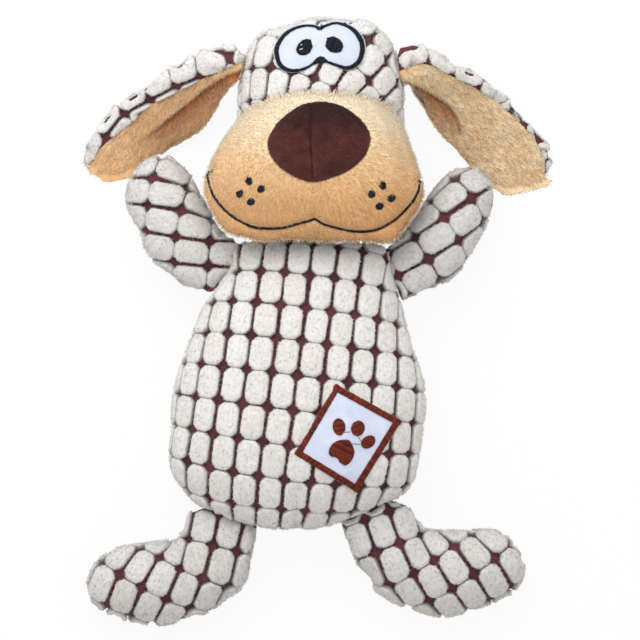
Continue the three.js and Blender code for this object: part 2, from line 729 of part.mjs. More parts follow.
function patchParts() {
  const square = (inset) => {
    const shape = new THREE.Shape();
    const across = patch.width / 2 - inset;
    const high = patch.length / 2 - inset;
    shape.moveTo(-across + patch.corner, -high);
    shape.lineTo(across - patch.corner, -high);
    shape.lineTo(across, -high + patch.corner);
    shape.lineTo(across, high - patch.corner);
    shape.lineTo(across - patch.corner, high);
    shape.lineTo(-across + patch.corner, high);
    shape.lineTo(-across, high - patch.corner);
    shape.lineTo(-across, -high + patch.corner);
    return throughFront(shape);
  };
  const place = new THREE.Matrix4().makeRotationZ(radians(patch.turn));
  place.setPosition(patch.aside, -patch.below, torsoHeight);
  const ground = layerOver(torsoForm, seamGap, felt);
  const stitches = layerOver(torsoForm, 2 * seamGap + felt, stitching);
  const laid = (name, layer, cutter, material) =>
    meshOf(name, mainPiece(layer.intersect(cutter.transform(place.elements))), material);
  const toe = (turnDegrees) => {
    const { x, y } = vector(0, patch.toeSpread, 0).applyAxisAngle(up, radians(turnDegrees));
    return discAt(x, y - patch.padBelow, patch.toeWidth, patch.toeLength, turnDegrees);
  };
  const border = square(0).subtract(square(patch.border));
  const pad = discAt(0, -patch.padBelow, patch.padWidth, patch.padLength);
  const toes = patch.toeTurns.map(toe);
  return [
    laid("patch_ground", ground, square(0), materials.whiteFelt),
    laid("patch_border_stitching", stitches, border, materials.rustThread),
    laid("paw_pad_stitching", stitches, pad, materials.rustThread),
    ...toes.map((cutter, i) => laid(`paw_toe_stitching_${i + 1}`, stitches, cutter, materials.rustThread)),
  ];
}

// A round piece from [radius, height] points, turned about the squeaker's upright axis
function turned(points) {
  const profile = points.map(([radius, height]) => new THREE.Vector2(radius, height));
  const geometry = new THREE.LatheGeometry([...profile, profile[0]], squeaker.sides);
  const place = new THREE.Matrix4().makeTranslation(squeaker.aside, -squeaker.below, squeaker.lowerEnd);
  return solid(geometry, place.multiply(new THREE.Matrix4().makeRotationX(Math.PI / 2)));
}

// The capsule's outline from its closed end up to its shoulder, grown by this much
function capsuleBody(grow) {
  const { radius, height, rim } = squeaker;
  return [
    [0, -grow],
    [radius - rim + grow, -grow],
    [radius + grow, rim - grow],
    [radius + grow, height - rim + grow],
    [radius - rim + grow, height + grow],
  ];
}

// The same outline with the nozzle on it, up to its mouth
function capsuleOutline(grow) {
  const { height, nozzleRadius, nozzleLength } = squeaker;
  const nozzle = nozzleRadius + grow;
  return [...capsuleBody(grow), [nozzle, height + grow], [nozzle, height + nozzleLength]];
}

function squeakerParts() {
  const { height, nozzleRadius, nozzleLength, wall, reedWall, flange, flangeThickness } = squeaker;
  const inside = capsuleOutline(-wall).reverse();
  const bore = nozzleRadius - wall - seamGap;
  const mouth = height + nozzleLength;
  const reed = [
    [bore - reedWall, height],
    [bore, height],
    [bore, mouth + seamGap],
    [bore + flange, mouth + seamGap],
    [bore + flange, mouth + seamGap + flangeThickness],
    [bore - reedWall, mouth + seamGap + flangeThickness],
  ];
  return [
    meshOf("squeaker_capsule", turned([...capsuleOutline(0), ...inside]), materials.plastic),
    meshOf("squeaker_reed", turned(reed), materials.plastic),
  ];
}

// The hollow for the squeaker in the stuffing, and the parting behind it that it was pushed in through
function squeakerPocket() {
  const { height, nozzleLength, flangeThickness, pocketClearance, slotWidth, slotThickness } = squeaker;
  const top = height + nozzleLength + flangeThickness + 2 * seamGap + pocketClearance;
  const mouth = squeaker.nozzleRadius + squeaker.flange + pocketClearance;
  const body = capsuleBody(pocketClearance);
  const pocket = turned([...body, [mouth, height + pocketClearance], [mouth, top], [0, top]]);
  const slot = solid(
    new THREE.BoxGeometry(slotWidth, slotThickness, farAway),
    new THREE.Matrix4().makeTranslation(squeaker.aside, -squeaker.below, squeaker.lowerEnd - farAway / 2),
  );
  return pocket.add(slot);
}

function torsoParts(seats) {
  const inner = stuffedForm(torsoForm, -stonePlush);
  const cloth = stuffedForm(torsoForm).subtract(inner).subtract(joined(seats));
  const seam = [
    [-farAway / 2, torsoHeight],
    [farAway / 2, torsoHeight],
  ];
  const back = cloth.intersect(besideSeam(seam, false)).subtract(floorIn(new THREE.Matrix4()));
  const filling = stuffedForm(torsoForm, -stonePlush - seamGap).subtract(squeakerPocket());
  return [
    meshOf("torso_front_panel", mainPiece(cloth.intersect(besideSeam(seam, true))), materials.stonePlush),
    meshOf("torso_back_panel", mainPiece(back), materials.stonePlush),
    meshOf("torso_stuffing", mainPiece(filling), materials.stuffing),
  ];
}

// Everything that moves on one seam, placed at that seam
function onSeam(frame, parts) {
  const group = new THREE.Group();
  frame.decompose(group.position, group.quaternion, group.scale);
  group.add(...parts);
  return group;
}

const rightArmFrame = torsoSeam(rightArm, -1);
const leftArmFrame = torsoSeam(leftArm, 1);
const rightLegFrame = torsoSeam(rightLeg, -1);
const leftLegFrame = torsoSeam(leftLeg, 1);
const rightEarFrame = earSeam(rightEar, -1);
const leftEarFrame = earSeam(leftEar, 1);

const earSeats = [rootSeat(rightEarFrame, rightEar), rootSeat(leftEarFrame, leftEar)];

const dog = new THREE.Group();
dog.name = "plush_dog";
dog.add(
  ...torsoParts([
    rootSeat(neckFrame, neck),
    rootSeat(rightArmFrame, rightArm),
    rootSeat(leftArmFrame, leftArm),
    rootSeat(rightLegFrame, rightLeg),
    rootSeat(leftLegFrame, leftLeg),
  ]),
  ...squeakerParts(),
  ...patchParts(),
  onSeam(rightArmFrame, armParts("arm_right", rightArm, rightArmFrame)),
  onSeam(leftArmFrame, armParts("arm_left", leftArm, leftArmFrame)),
  onSeam(rightLegFrame, legParts("leg_right", rightLeg, rightLegFrame)),
  onSeam(leftLegFrame, legParts("leg_left", leftLeg, leftLegFrame)),
  onSeam(neckFrame, [...headParts(earSeats), ...noseParts(), ...eyeParts(), ...mouthParts()]),
  onSeam(rightEarFrame, earParts("ear_right", rightEar, rightEarFrame)),
  onSeam(leftEarFrame, earParts("ear_left", leftEar, leftEarFrame)),
);

export default dog;
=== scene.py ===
import json
import math
from contextlib import contextmanager

import bmesh
import bpy
import numpy as np
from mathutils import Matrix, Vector
from mathutils.bvhtree import BVHTree
from mathutils.geometry import delaunay_2d_cdt
from mathutils.kdtree import KDTree

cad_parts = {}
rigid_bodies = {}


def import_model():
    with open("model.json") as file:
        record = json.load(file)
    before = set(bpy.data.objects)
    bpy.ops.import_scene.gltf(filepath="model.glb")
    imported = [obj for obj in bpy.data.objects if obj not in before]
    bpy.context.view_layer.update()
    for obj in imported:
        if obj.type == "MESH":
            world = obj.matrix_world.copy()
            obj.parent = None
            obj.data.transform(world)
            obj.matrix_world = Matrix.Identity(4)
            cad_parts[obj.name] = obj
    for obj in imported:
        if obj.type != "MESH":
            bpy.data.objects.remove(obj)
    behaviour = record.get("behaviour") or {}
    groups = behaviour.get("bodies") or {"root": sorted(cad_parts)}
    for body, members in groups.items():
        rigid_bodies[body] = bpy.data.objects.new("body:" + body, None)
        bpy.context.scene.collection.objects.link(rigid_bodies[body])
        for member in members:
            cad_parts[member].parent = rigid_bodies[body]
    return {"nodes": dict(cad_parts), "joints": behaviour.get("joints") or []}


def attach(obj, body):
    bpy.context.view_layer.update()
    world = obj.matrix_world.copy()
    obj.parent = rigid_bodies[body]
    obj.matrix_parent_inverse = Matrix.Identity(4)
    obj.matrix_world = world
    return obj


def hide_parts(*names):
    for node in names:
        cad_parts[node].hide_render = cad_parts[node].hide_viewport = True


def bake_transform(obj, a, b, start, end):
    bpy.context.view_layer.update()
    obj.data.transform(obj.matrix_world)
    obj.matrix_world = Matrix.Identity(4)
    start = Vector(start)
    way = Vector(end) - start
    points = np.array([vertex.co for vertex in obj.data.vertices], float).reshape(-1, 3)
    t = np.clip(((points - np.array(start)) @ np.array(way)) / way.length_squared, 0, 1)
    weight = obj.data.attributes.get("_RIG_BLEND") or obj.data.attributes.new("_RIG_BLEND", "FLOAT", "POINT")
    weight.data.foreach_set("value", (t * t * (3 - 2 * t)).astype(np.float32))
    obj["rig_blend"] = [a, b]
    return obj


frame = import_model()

mm = 0.001
up = Vector((0, 0, 1))
scene = bpy.context.scene
bpy.context.view_layer.update()

# Photograph: how its pixels lie on the frame
photo = {
    "pixel": 0.525 * mm,
    "originAcross": 299,
    "originDown": 400,
    "middle": 320,
    "size": 640,
}


def placed(pixel):  # a pixel of the photograph as X and Y in the frame
    across, down = pixel
    return Vector((
        (across - photo["originAcross"]) * photo["pixel"],
        (photo["originDown"] - down) * photo["pixel"],
        0,
    ))


# Camera: straight down, from so far that it sees the toy almost without perspective
camera = {"height": 6.0, "sensor": 36, "focusLevel": 30 * mm}


def makeCamera():
    data = bpy.data.cameras.new("photographCamera")
    width = photo["size"] * photo["pixel"]
    data.sensor_width = camera["sensor"]
    data.lens = camera["sensor"] * camera["height"] / width
    data.clip_end = 2 * camera["height"]
    made = bpy.data.objects.new("photographCamera", data)
    middle = placed((photo["middle"], photo["middle"]))
    made.location = middle + up * (camera["height"] + camera["focusLevel"])
    scene.collection.objects.link(made)
    scene.camera = made


makeCamera()
print("camera made")


# Sums on sockets
class Wire:  # a node's output that sums are written with
    def __init__(self, graph, socket):
        self.graph = graph
        self.socket = socket

    def other(self, name):  # another output of the same node
        return Wire(self.graph, self.graph.found(self.socket.node.outputs, name))

    def worked(self, operation, first, second):
        wires = [w for w in (first, second) if isinstance(w, Wire)]
        isVector = any(w.socket.type in ("VECTOR", "RGBA") for w in wires)
        values = {}
        for index, value in enumerate((first, second)):
            isPlain = isVector and not isinstance(value, (Wire, tuple))
            values[index] = (value,) * 3 if isPlain else value
        kind = "ShaderNodeVectorMath" if isVector else "ShaderNodeMath"
        return self.graph.node(kind, values, operation=operation)

    def above(self, value):  # the larger of the two
        return self.worked("MAXIMUM", self, value)


for name, operation in {"add": "ADD", "sub": "SUBTRACT", "mul": "MULTIPLY", "truediv": "DIVIDE"}.items():
    setattr(Wire, f"__{name}__", lambda wire, value, kind=operation: wire.worked(kind, wire, value))
    setattr(Wire, f"__r{name}__", lambda wire, value, kind=operation: wire.worked(kind, value, wire))


class Graph:  # a node tree, for materials and for geometry
    def __init__(self, tree):
        self.tree = tree

    def found(self, sockets, key):
        if isinstance(key, int):
            return sockets[key]
        return next(s for s in sockets if s.name == key and s.enabled)

    def node(self, kind, values=None, out=None, stops=None, **settings):
        made = self.tree.nodes.new(kind)
        for name, value in settings.items():
            setattr(made, name, value)
        if stops:
            ramp = made.color_ramp.elements
            while len(ramp) < len(stops):
                ramp.new(1)
            for element, (place, colour) in zip(ramp, stops):
                element.position = place
                element.color = colour
        for key, value in (values or {}).items():
            socket = self.found(made.inputs, key)
            if isinstance(value, list):
                for wire in value:
                    self.tree.links.new(wire.socket, socket)
            elif isinstance(value, Wire):
                self.tree.links.new(value.socket, socket)
            else:
                socket.default_value = value
        if not made.outputs:
            return made
        if out is None:
            return Wire(self, next(s for s in made.outputs if s.enabled))
        return Wire(self, self.found(made.outputs, out))


# Materials. A noise is [scale, detail, roughness], a bump is [strength, distance] and a range [0 at, 1 at]
screen = {"white": 255, "knee": 0.04045, "slope": 12.92, "offset": 0.055, "power": 2.4}


def sRgb(red, green, blue):  # a colour as a screen shows it, 0 to 255
    def linear(value):
        share = value / screen["white"]
        if share <= screen["knee"]:
            return share / screen["slope"]
        return ((share + screen["offset"]) / (1 + screen["offset"])) ** screen["power"]

    return (linear(red), linear(green), linear(blue), 1)


def newMaterial(name):
    made = bpy.data.materials.new(name)
    made.use_nodes = True
    made.node_tree.nodes.clear()
    return made, Graph(made.node_tree)


def materialOf(look, painted):  # painted gives its colour and what its relief follows
    made, graph = newMaterial(look["name"])
    colour, height = painted(look, graph, graph.node("ShaderNodeTexCoord", out="Object"))
    strength, distance = look["bump"]
    normal = graph.node("ShaderNodeBump", {"Height": height, "Strength": strength, "Distance": distance})
    shader = graph.node("ShaderNodeBsdfPrincipled", {
        "Base Color": colour, "Normal": normal, "Roughness": look["roughness"], "Sheen Weight": look["sheen"],
        "Specular IOR Level": look["specular"],
    })
    graph.node("ShaderNodeOutputMaterial", {"Surface": shader})
    return made


def valueOf(graph, name):  # a value that the mesh carries
    return graph.node("ShaderNodeAttribute", attribute_name=name, out="Fac")


def noiseOf(graph, place, scale, detail=3.0, roughness=0.6):
    values = {"Vector": place, "Scale": scale, "Detail": detail, "Roughness": roughness}
    return graph.node("ShaderNodeTexNoise", values, noise_dimensions="3D")


def ramped(graph, value, stops):
    return graph.node("ShaderNodeValToRGB", {"Fac": value}, stops=stops)


def mixed(graph, share, first, second, blend="MIX"):
    values = {"Factor": share, 6: first, 7: second}
    return graph.node("ShaderNodeMix", values, data_type="RGBA", blend_type=blend)


def rangeOf(graph, value, low, high):  # 0 at low and 1 at high, smooth between
    values = {"Value": value, "From Min": low, "From Max": high}
    return graph.node("ShaderNodeMapRange", values, interpolation_type="SMOOTHSTEP")


def split(graph, place):
    return graph.node("ShaderNodeSeparateXYZ", {0: place})


backing = {
    "name": "maroonBacking", "colour": sRgb(108, 60, 64), "dark": sRgb(76, 38, 42),
    "patches": (60,), "fine": (900, 2), "patchShare": 0.6, "range": (0.35, 0.65),
    "roughness": 0.95, "bump": (0.5, 0.4 * mm), "sheen": 0.15, "specular": 0.3,
}
felt = {
    "patches": (120, 3), "fine": (1600, 4, 0.7), "patchShare": 0.5, "range": (0.35, 0.7),
    "roughness": 0.92, "bump": (0.35, 0.4 * mm), "sheen": 0.15, "specular": 0.3,
}
eyeFelt = {**felt, "name": "eyeFelt", "colour": sRgb(220, 226, 239), "dark": sRgb(208, 215, 231)}
patchFelt = {**felt, "name": "patchFelt", "colour": sRgb(228, 234, 251), "dark": sRgb(210, 218, 239)}


def clothPaint(look, graph, place):  # knitted backing and felt
    patches = noiseOf(graph, place, *look["patches"])
    fine = noiseOf(graph, place, *look["fine"])
    share = patches * look["patchShare"] + fine * (1 - look["patchShare"])
    colour = mixed(graph, rangeOf(graph, share, *look["range"]), look["dark"], look["colour"])
    return colour, fine


cobblePlush = {
    "name": "creamCobblePlush", "shade": 1.0,
    # painted shade: side greys the stones' sides and root darkens their feet, where shade falls between the
    # stones
    "colour": (240, 239, 237), "warm": (234, 229, 223), "side": (226, 223, 221), "root": sRgb(100, 70, 70),
    "fineness": (800, 430, 400),  # of the streaks across the pile, along it and down
    "streaks": (1, 3, 0.65), "mottle": (190, 3), "toneShare": 0.3, "warmRange": (0.4, 0.9),
    "streakShare": 0.5, "sideRange": (0.95, 1.6),
    "shadow": ((0.3, (0.84, 0.84, 0.85, 1)), (0.6, (1, 1, 1, 1))),
    "roughness": 0.9, "bump": (0.7, 0.8 * mm), "sheen": 0.1, "specular": 0.3,
}
# painted shade: a darker copy of the same cream plush for the limbs, for the shade they lie in
limbPlushShaded = {**cobblePlush, "name": "creamLimbPlush", "shade": 0.94}


def cobblePaint(look, graph, place):
    # painted shade: a shade below 1 darkens all the plush's colours
    pale, warm, side = (sRgb(*(look["shade"] * part for part in look[key]))
                        for key in ("colour", "warm", "side"))
    flat = graph.node("ShaderNodeAttribute", attribute_name="flatPlace", out="Vector")
    streaks = noiseOf(graph, flat * look["fineness"], *look["streaks"])
    mottle = noiseOf(graph, place, *look["mottle"]) + valueOf(graph, "tone") * look["toneShare"]
    body = mixed(graph, rangeOf(graph, mottle, *look["warmRange"]), pale, warm)
    edge = valueOf(graph, "rim") + streaks * look["streakShare"]
    # painted shade: the stones' sides greyer than their tops
    shadedStone = mixed(graph, rangeOf(graph, edge, *look["sideRange"]), body, side)
    # painted shade: the stones' feet darkened towards maroon grey, down between the stones
    shadedStone = mixed(graph, valueOf(graph, "foot"), shadedStone, look["root"])
    colour = mixed(graph, 1.0, shadedStone, ramped(graph, streaks, look["shadow"]), "MULTIPLY")
    return colour, streaks


muzzlePlush = {
    "name": "tanMuzzlePlush", "patches": (75, 4), "pile": (1300, 3), "mottle": 0.3,
    "levels": (84 * mm, 162 * mm),  # painted light and shade: darker below the first and paler above the second
    "stops": ((0, sRgb(236, 186, 128)), (0.25, sRgb(250, 208, 154)), (0.6, sRgb(255, 226, 184)),
              (1, sRgb(255, 246, 226))),
    "cheek": (50 * mm, 100 * mm, 66 * mm), "cheekReach": 34 * mm,  # the orange patch by the mouth's corner
    "orange": sRgb(242, 178, 104), "orangeShare": 0.5, "spotShare": 0.12, "spotRange": (0.48, 0.72),
    "tips": sRgb(255, 234, 198), "tipShare": 0.5,
    "roughness": 0.85, "bump": (0.4, 0.5 * mm), "sheen": 0.2, "specular": 0.3,
}


def muzzlePaint(look, graph, place):
    # painted light: the muzzle paler towards its top, darker towards the chin
    level = rangeOf(graph, split(graph, place).other("Y"), *look["levels"])
    patches = noiseOf(graph, place, *look["patches"])
    fine = noiseOf(graph, place, *look["pile"])
    share = level
    for uneven in (patches, valueOf(graph, "tone"), fine):
        share = share + (uneven - 0.5) * look["mottle"]
    body = ramped(graph, share, look["stops"])
    values = {0: place, 1: look["cheek"]}
    away = graph.node("ShaderNodeVectorMath", values, out="Value", operation="DISTANCE")
    near = rangeOf(graph, away, look["cheekReach"], 0)
    spots = (fine + patches) * 0.5 + (near - level) * look["spotShare"]
    spots = rangeOf(graph, spots, *look["spotRange"])
    colour = mixed(graph, spots * look["orangeShare"], body, look["orange"])
    colour = mixed(graph, valueOf(graph, "tip") * look["tipShare"], colour, look["tips"])
    return colour, fine


earPlush = {
    "name": "tanEarPlush", "patches": (80, 4), "pile": (1500, 3), "stretch": (1.0, 0.6, 1.0),
    "patchShare": 0.5, "toneShare": 0.3, "pileShare": 0.3,
    "paler": (-80 * mm, 120 * mm), "palerShare": 0.16, "palerMiddle": 0.4,  # from one ear across to the other
    "stops": ((0.35, sRgb(243, 192, 135)), (0.55, sRgb(255, 227, 184)), (0.78, sRgb(255, 245, 221))),
    # painted shade: the dark orange of the shade in the fold under the crease
    "fold": sRgb(176, 92, 22), "tips": sRgb(255, 243, 215), "tipShare": 0.45,
    "roughness": 0.85, "bump": (0.5, 0.6 * mm), "sheen": 0.2, "specular": 0.3,
}


def earPaint(look, graph, place):
    patches = noiseOf(graph, place, *look["patches"])
    pile = noiseOf(graph, place * look["stretch"], *look["pile"])
    paler = rangeOf(graph, split(graph, place), *look["paler"]) - look["palerMiddle"]
    share = patches * look["patchShare"] + valueOf(graph, "tone") * look["toneShare"]
    body = ramped(graph, share + pile * look["pileShare"] + paler * look["palerShare"], look["stops"])
    body = mixed(graph, valueOf(graph, "tip") * look["tipShare"], body, look["tips"])
    # painted shade: dark orange in the fold under the crease
    return mixed(graph, valueOf(graph, "fold"), body, look["fold"]), pile


nosePlush = {
    "name": "maroonNosePlush", "pile": (1500, 3), "patches": (110, 3), "noiseShare": 0.4, "base": 0.16,
    # painted shade: the nose darker towards its top
    "levels": (128 * mm, 156 * mm), "levelShare": 0.2, "toneShare": 0.22, "tipShare": 0.1,
    "stops": ((0.3, sRgb(44, 18, 16)), (0.5, sRgb(97, 50, 46)), (0.75, sRgb(142, 84, 78))),
    "roughness": 0.9, "bump": (0.6, 0.6 * mm), "sheen": 0.08, "specular": 0.2,
}


def nosePaint(look, graph, place):
    fine = noiseOf(graph, place, *look["pile"])
    patches = noiseOf(graph, place, *look["patches"])
    level = rangeOf(graph, split(graph, place).other("Y"), *look["levels"])
    share = patches * look["noiseShare"] + fine * look["noiseShare"] + look["base"]
    # painted shade: darker towards the nose's top
    share = share - level * look["levelShare"]
    share = share + (valueOf(graph, "tone") - 0.5) * look["toneShare"]
    share = share + valueOf(graph, "tip") * look["tipShare"]
    return ramped(graph, share, look["stops"]), fine


thread = {
    "fine": (650, 3), "toneShare": 0.5, "fineShare": 0.9, "range": (0.45, 0.95),
    "roughness": 0.7, "bump": (0.3, 0.15 * mm), "sheen": 0.0, "specular": 0.25,
}
blackThread = {**thread, "name": "blackThread", "colour": sRgb(6, 7, 13), "light": sRgb(34, 37, 54)}
darkThread = {**thread, "name": "darkThread", "colour": sRgb(22, 8, 8), "light": sRgb(48, 26, 26)}
brickThread = {
    **thread, "name": "brickThread", "colour": sRgb(72, 20, 10), "light": sRgb(134, 52, 32), "roughness": 0.6,
}


def threadPaint(look, graph, place):
    fine = noiseOf(graph, place, *look["fine"])
    share = valueOf(graph, "tone") * look["toneShare"] + fine * look["fineShare"]
    lit = rangeOf(graph, share, *look["range"])
    return mixed(graph, lit, look["colour"], look["light"]), fine


plastic = {
    "name": "squeakerPlastic", "cloud": (90, 2), "colour": sRgb(214, 219, 222), "light": sRgb(236, 239, 240),
    "roughness": 0.45, "bump": (0.1, 0.3 * mm), "sheen": 0.0, "specular": 0.5,
}


def plasticPaint(look, graph, place):
    cloud = noiseOf(graph, place, *look["cloud"])
    return mixed(graph, cloud, look["colour"], look["light"]), cloud


finish = {
    "backing": materialOf(backing, clothPaint),
    "cobble": materialOf(cobblePlush, cobblePaint),
    "limbCobbleShaded": materialOf(limbPlushShaded, cobblePaint),
    "muzzle": materialOf(muzzlePlush, muzzlePaint),
    "ear": materialOf(earPlush, earPaint),
    "nose": materialOf(nosePlush, nosePaint),
    "eyeFelt": materialOf(eyeFelt, clothPaint),
    "patchFelt": materialOf(patchFelt, clothPaint),
    "blackThread": materialOf(blackThread, threadPaint),
    "brickThread": materialOf(brickThread, threadPaint),
    "darkThread": materialOf(darkThread, threadPaint),
    "plastic": materialOf(plastic, plasticPaint),
}
for node in ("squeaker_capsule", "squeaker_reed"):
    for place in frame["nodes"][node].material_slots:
        place.material = finish["plastic"]
print("materials made")


# Mesh helpers
lookup = {"weld": 0.01 * mm, "from": 1.0, "level": 60 * mm, "steepest": 0.2}


def newObject(name, mesh):
    made = bpy.data.objects.new(name, mesh)
    scene.collection.objects.link(made)
    return made


def bmeshObject(name, work):
    mesh = bpy.data.meshes.new(name)
    work.to_mesh(mesh)
    work.free()
    return newObject(name, mesh)


@contextmanager
def edited(mesh):  # the mesh as a bmesh, written back at the end
    work = bmesh.new()
    work.from_mesh(mesh)
    yield work
    work.to_mesh(mesh)
    work.free()


def evaluated(thing):
    bpy.context.view_layer.update()
    graph = bpy.context.evaluated_depsgraph_get()
    return bpy.data.meshes.new_from_object(thing.evaluated_get(graph))


def baked(thing):  # leaves its evaluated mesh, with the modifiers gone
    mesh = evaluated(thing)
    thing.modifiers.clear()
    thing.data = mesh


def joinedCopy(name, nodes):
    work = bmesh.new()
    for node in nodes:
        work.from_mesh(frame["nodes"][node].data)
    bmesh.ops.remove_doubles(work, verts=work.verts, dist=lookup["weld"])
    made = bmeshObject(name, work)
    made.data.materials.clear()
    return made


def largestIsland(work):  # leaves only the largest connected part of a bmesh
    work.verts.ensure_lookup_table()
    seen = set()
    islands = []
    for start in work.verts:
        if start in seen:
            continue
        seen.add(start)
        stack = [start]
        island = []
        while stack:
            vert = stack.pop()
            island.append(vert)
            for edge in vert.link_edges:
                near = edge.other_vert(vert)
                if near not in seen:
                    seen.add(near)
                    stack.append(near)
        islands.append(island)
    islands.sort(key=len, reverse=True)
    for island in islands[1:]:
        bmesh.ops.delete(work, geom=island, context="VERTS")


def triples(items, field):  # a field of three numbers for every item
    values = np.empty(len(items) * 3)
    items.foreach_get(field, values)
    return values.reshape(-1, 3)


def coordinates(mesh):
    return triples(mesh.vertices, "co")


def vertexNormals(mesh):
    return triples(mesh.vertex_normals, "vector")


def moved(mesh, places):
    mesh.vertices.foreach_set("co", np.asarray(places).ravel())
    mesh.update()


def stored(mesh, name, values):
    kind = "FLOAT_VECTOR" if np.ndim(values) == 2 else "FLOAT"
    attribute = mesh.attributes.get(name) or mesh.attributes.new(name, kind, "POINT")
    field = "vector" if kind == "FLOAT_VECTOR" else "value"
    attribute.data.foreach_set(field, np.asarray(values, float).ravel())


def read(mesh, name):
    values = np.empty(len(mesh.vertices))
    mesh.attributes[name].data.foreach_get("value", values)
    return values


def smoothStep(value, low, high):
    share = np.clip((value - low) / (high - low), 0, 1)
    return share * share * (3 - 2 * share)


def bell(distance, width):  # 1 at no distance, and almost 0 beyond twice the width
    away = distance / width
    return np.exp(-away * away)


def treeOf(*meshes):  # a search tree over their surfaces
    places, faces = [], []
    for mesh in meshes:
        start = len(places)
        places += coordinates(mesh).tolist()
        faces += [[start + i for i in face.vertices] for face in mesh.polygons]
    return BVHTree.FromPolygons(places, faces)


def nodeTree(nodes):
    return treeOf(*[frame["nodes"][node].data for node in nodes])


def distancesTo(tree, places):
    return np.array([tree.find_nearest(place)[3] for place in places.tolist()])


def onTop(tree, place):  # where a surface lies under a place, seen from above, and its normal there
    hit, normal, _, _ = tree.ray_cast(Vector((place[0], place[1], lookup["from"])), -up)
    if hit is None:  # the place is past the edge, so the edge's own height is looked up first
        near, _, _, _ = tree.find_nearest(Vector((place[0], place[1], lookup["level"])))
        hit, normal, _, _ = tree.find_nearest(Vector((place[0], place[1], near.z)))
    return hit, normal if normal.z > lookup["steepest"] else up


# Lines in the photograph's plane
def traced(pixels):  # pixels as X and Y, with what follows them kept
    return np.array([tuple(placed(pixel[:2]))[:2] + tuple(pixel[2:]) for pixel in pixels])


def smoothLine(points, step, closed=False, fine=10):  # a curve through the points, in even steps
    count = len(points)
    parts = []
    for index in range(count if closed else count - 1):
        four = [index - 1, index, index + 1, index + 2]
        four = [i % count if closed else min(max(i, 0), count - 1) for i in four]
        before, start, end, after = points[four]
        for share in np.linspace(0, 1, fine, endpoint=False):
            bend = 2 * before - 5 * start + 4 * end - after
            twist = 3 * start - before - 3 * end + after
            parts.append(start + 0.5 * share * (end - before + share * (bend + share * twist)))
    parts.append(parts[0] if closed else points[-1])
    dense = np.array(parts)
    walked = np.r_[0, np.cumsum(np.linalg.norm(np.diff(dense[:, :2], axis=0), axis=1))]
    marks = np.linspace(0, walked[-1], max(2, round(walked[-1] / step)) + 1)
    marks = marks[:-1] if closed else marks
    return np.column_stack([np.interp(marks, walked, column) for column in dense.T])


def beside(places, line, closed=False):
    # each place's distance from the line, positive on its left, and its share of the way along
    ends = np.roll(line, -1, axis=0) if closed else line[1:]
    signed = np.full(len(places), np.inf)
    along = np.zeros(len(places))
    walked = 0
    for start, end in zip(line, ends):
        step = (end - start)[:2]
        length = np.linalg.norm(step)
        offset = places[:, :2] - start[:2]
        share = np.clip(offset @ step / length**2, 0, 1)
        distance = np.linalg.norm(offset - share[:, None] * step, axis=1)
        left = step[0] * offset[:, 1] - step[1] * offset[:, 0] >= 0
        nearer = distance < np.abs(signed)
        signed[nearer] = np.where(left, distance, -distance)[nearer]
        along[nearer] = (walked + share * length)[nearer]
        walked += length
    return signed, along / walked


# Geometry node trees
def newTree(name, inputs):
    tree = bpy.data.node_groups.new(name, "GeometryNodeTree")
    tree.is_modifier = True
    tree.interface.new_socket("Geometry", in_out="INPUT", socket_type="NodeSocketGeometry")
    tree.interface.new_socket("Geometry", in_out="OUTPUT", socket_type="NodeSocketGeometry")
    for label, kind in inputs.items():
        tree.interface.new_socket(label, in_out="INPUT", socket_type="NodeSocket" + kind)
    graph = Graph(tree)
    entry = tree.nodes.new("NodeGroupInput")
    wires = {socket.name: Wire(graph, socket) for socket in entry.outputs if socket.name}
    return graph, wires


def ended(graph, geometry, material):
    realized = graph.node("GeometryNodeRealizeInstances", {"Geometry": geometry})
    smooth = graph.node("GeometryNodeSetShadeSmooth", {"Geometry": realized})
    painted = graph.node("GeometryNodeSetMaterial", {"Geometry": smooth, "Material": material})
    graph.node("NodeGroupOutput", {"Geometry": painted})
    return graph.tree


def run(tree, name, host, values):  # the tree's result on the host, as a plain mesh object
    modifier = host.modifiers.new("nodes", "NODES")
    modifier.node_group = tree
    for item in tree.interface.items_tree:
        if item.item_type == "SOCKET" and item.in_out == "INPUT" and item.name in values:
            modifier[item.identifier] = values[item.name]
    mesh = evaluated(host)
    host.modifiers.remove(modifier)
    mesh.name = name
    return newObject(name, mesh)


def randomOf(graph, kind, low, high, seed):
    return graph.node("FunctionNodeRandomValue", {"Min": low, "Max": high, "Seed": seed}, data_type=kind)


def named(graph, name, kind="FLOAT"):
    return graph.node("GeometryNodeInputNamedAttribute", {"Name": name}, data_type=kind)


def kept(graph, geometry, name, value, kind="FLOAT", domain="POINT"):
    values = {"Geometry": geometry, "Name": name, "Value": value}
    return graph.node("GeometryNodeStoreNamedAttribute", values, data_type=kind, domain=domain)


variety = {
    "tufts": (0.6, 1.15),  # smallest and largest scale
    "turn": 0.04,
    "smallest": (0.96, 0.97, 0.9),
    "largest": (1.02, 1.01, 1.08),
    "wander": 420.0,
    "ragged": (0.9 * mm, 1.4 * mm, 0.5 * mm),
    "merged": 0.03 * mm,
    "crownFuzz": 0.15,  # share of the rim's fuzz that the stones' crowns have
    "bows": (0.5, 1.4),
    "threadPoints": 5,
    "threadSides": 5,
}


def toned(graph, geometry, seed, domain):  # one random tone for each instance or curve
    return kept(graph, geometry, "tone", randomOf(graph, "FLOAT", 0.0, 1.0, seed), domain=domain)


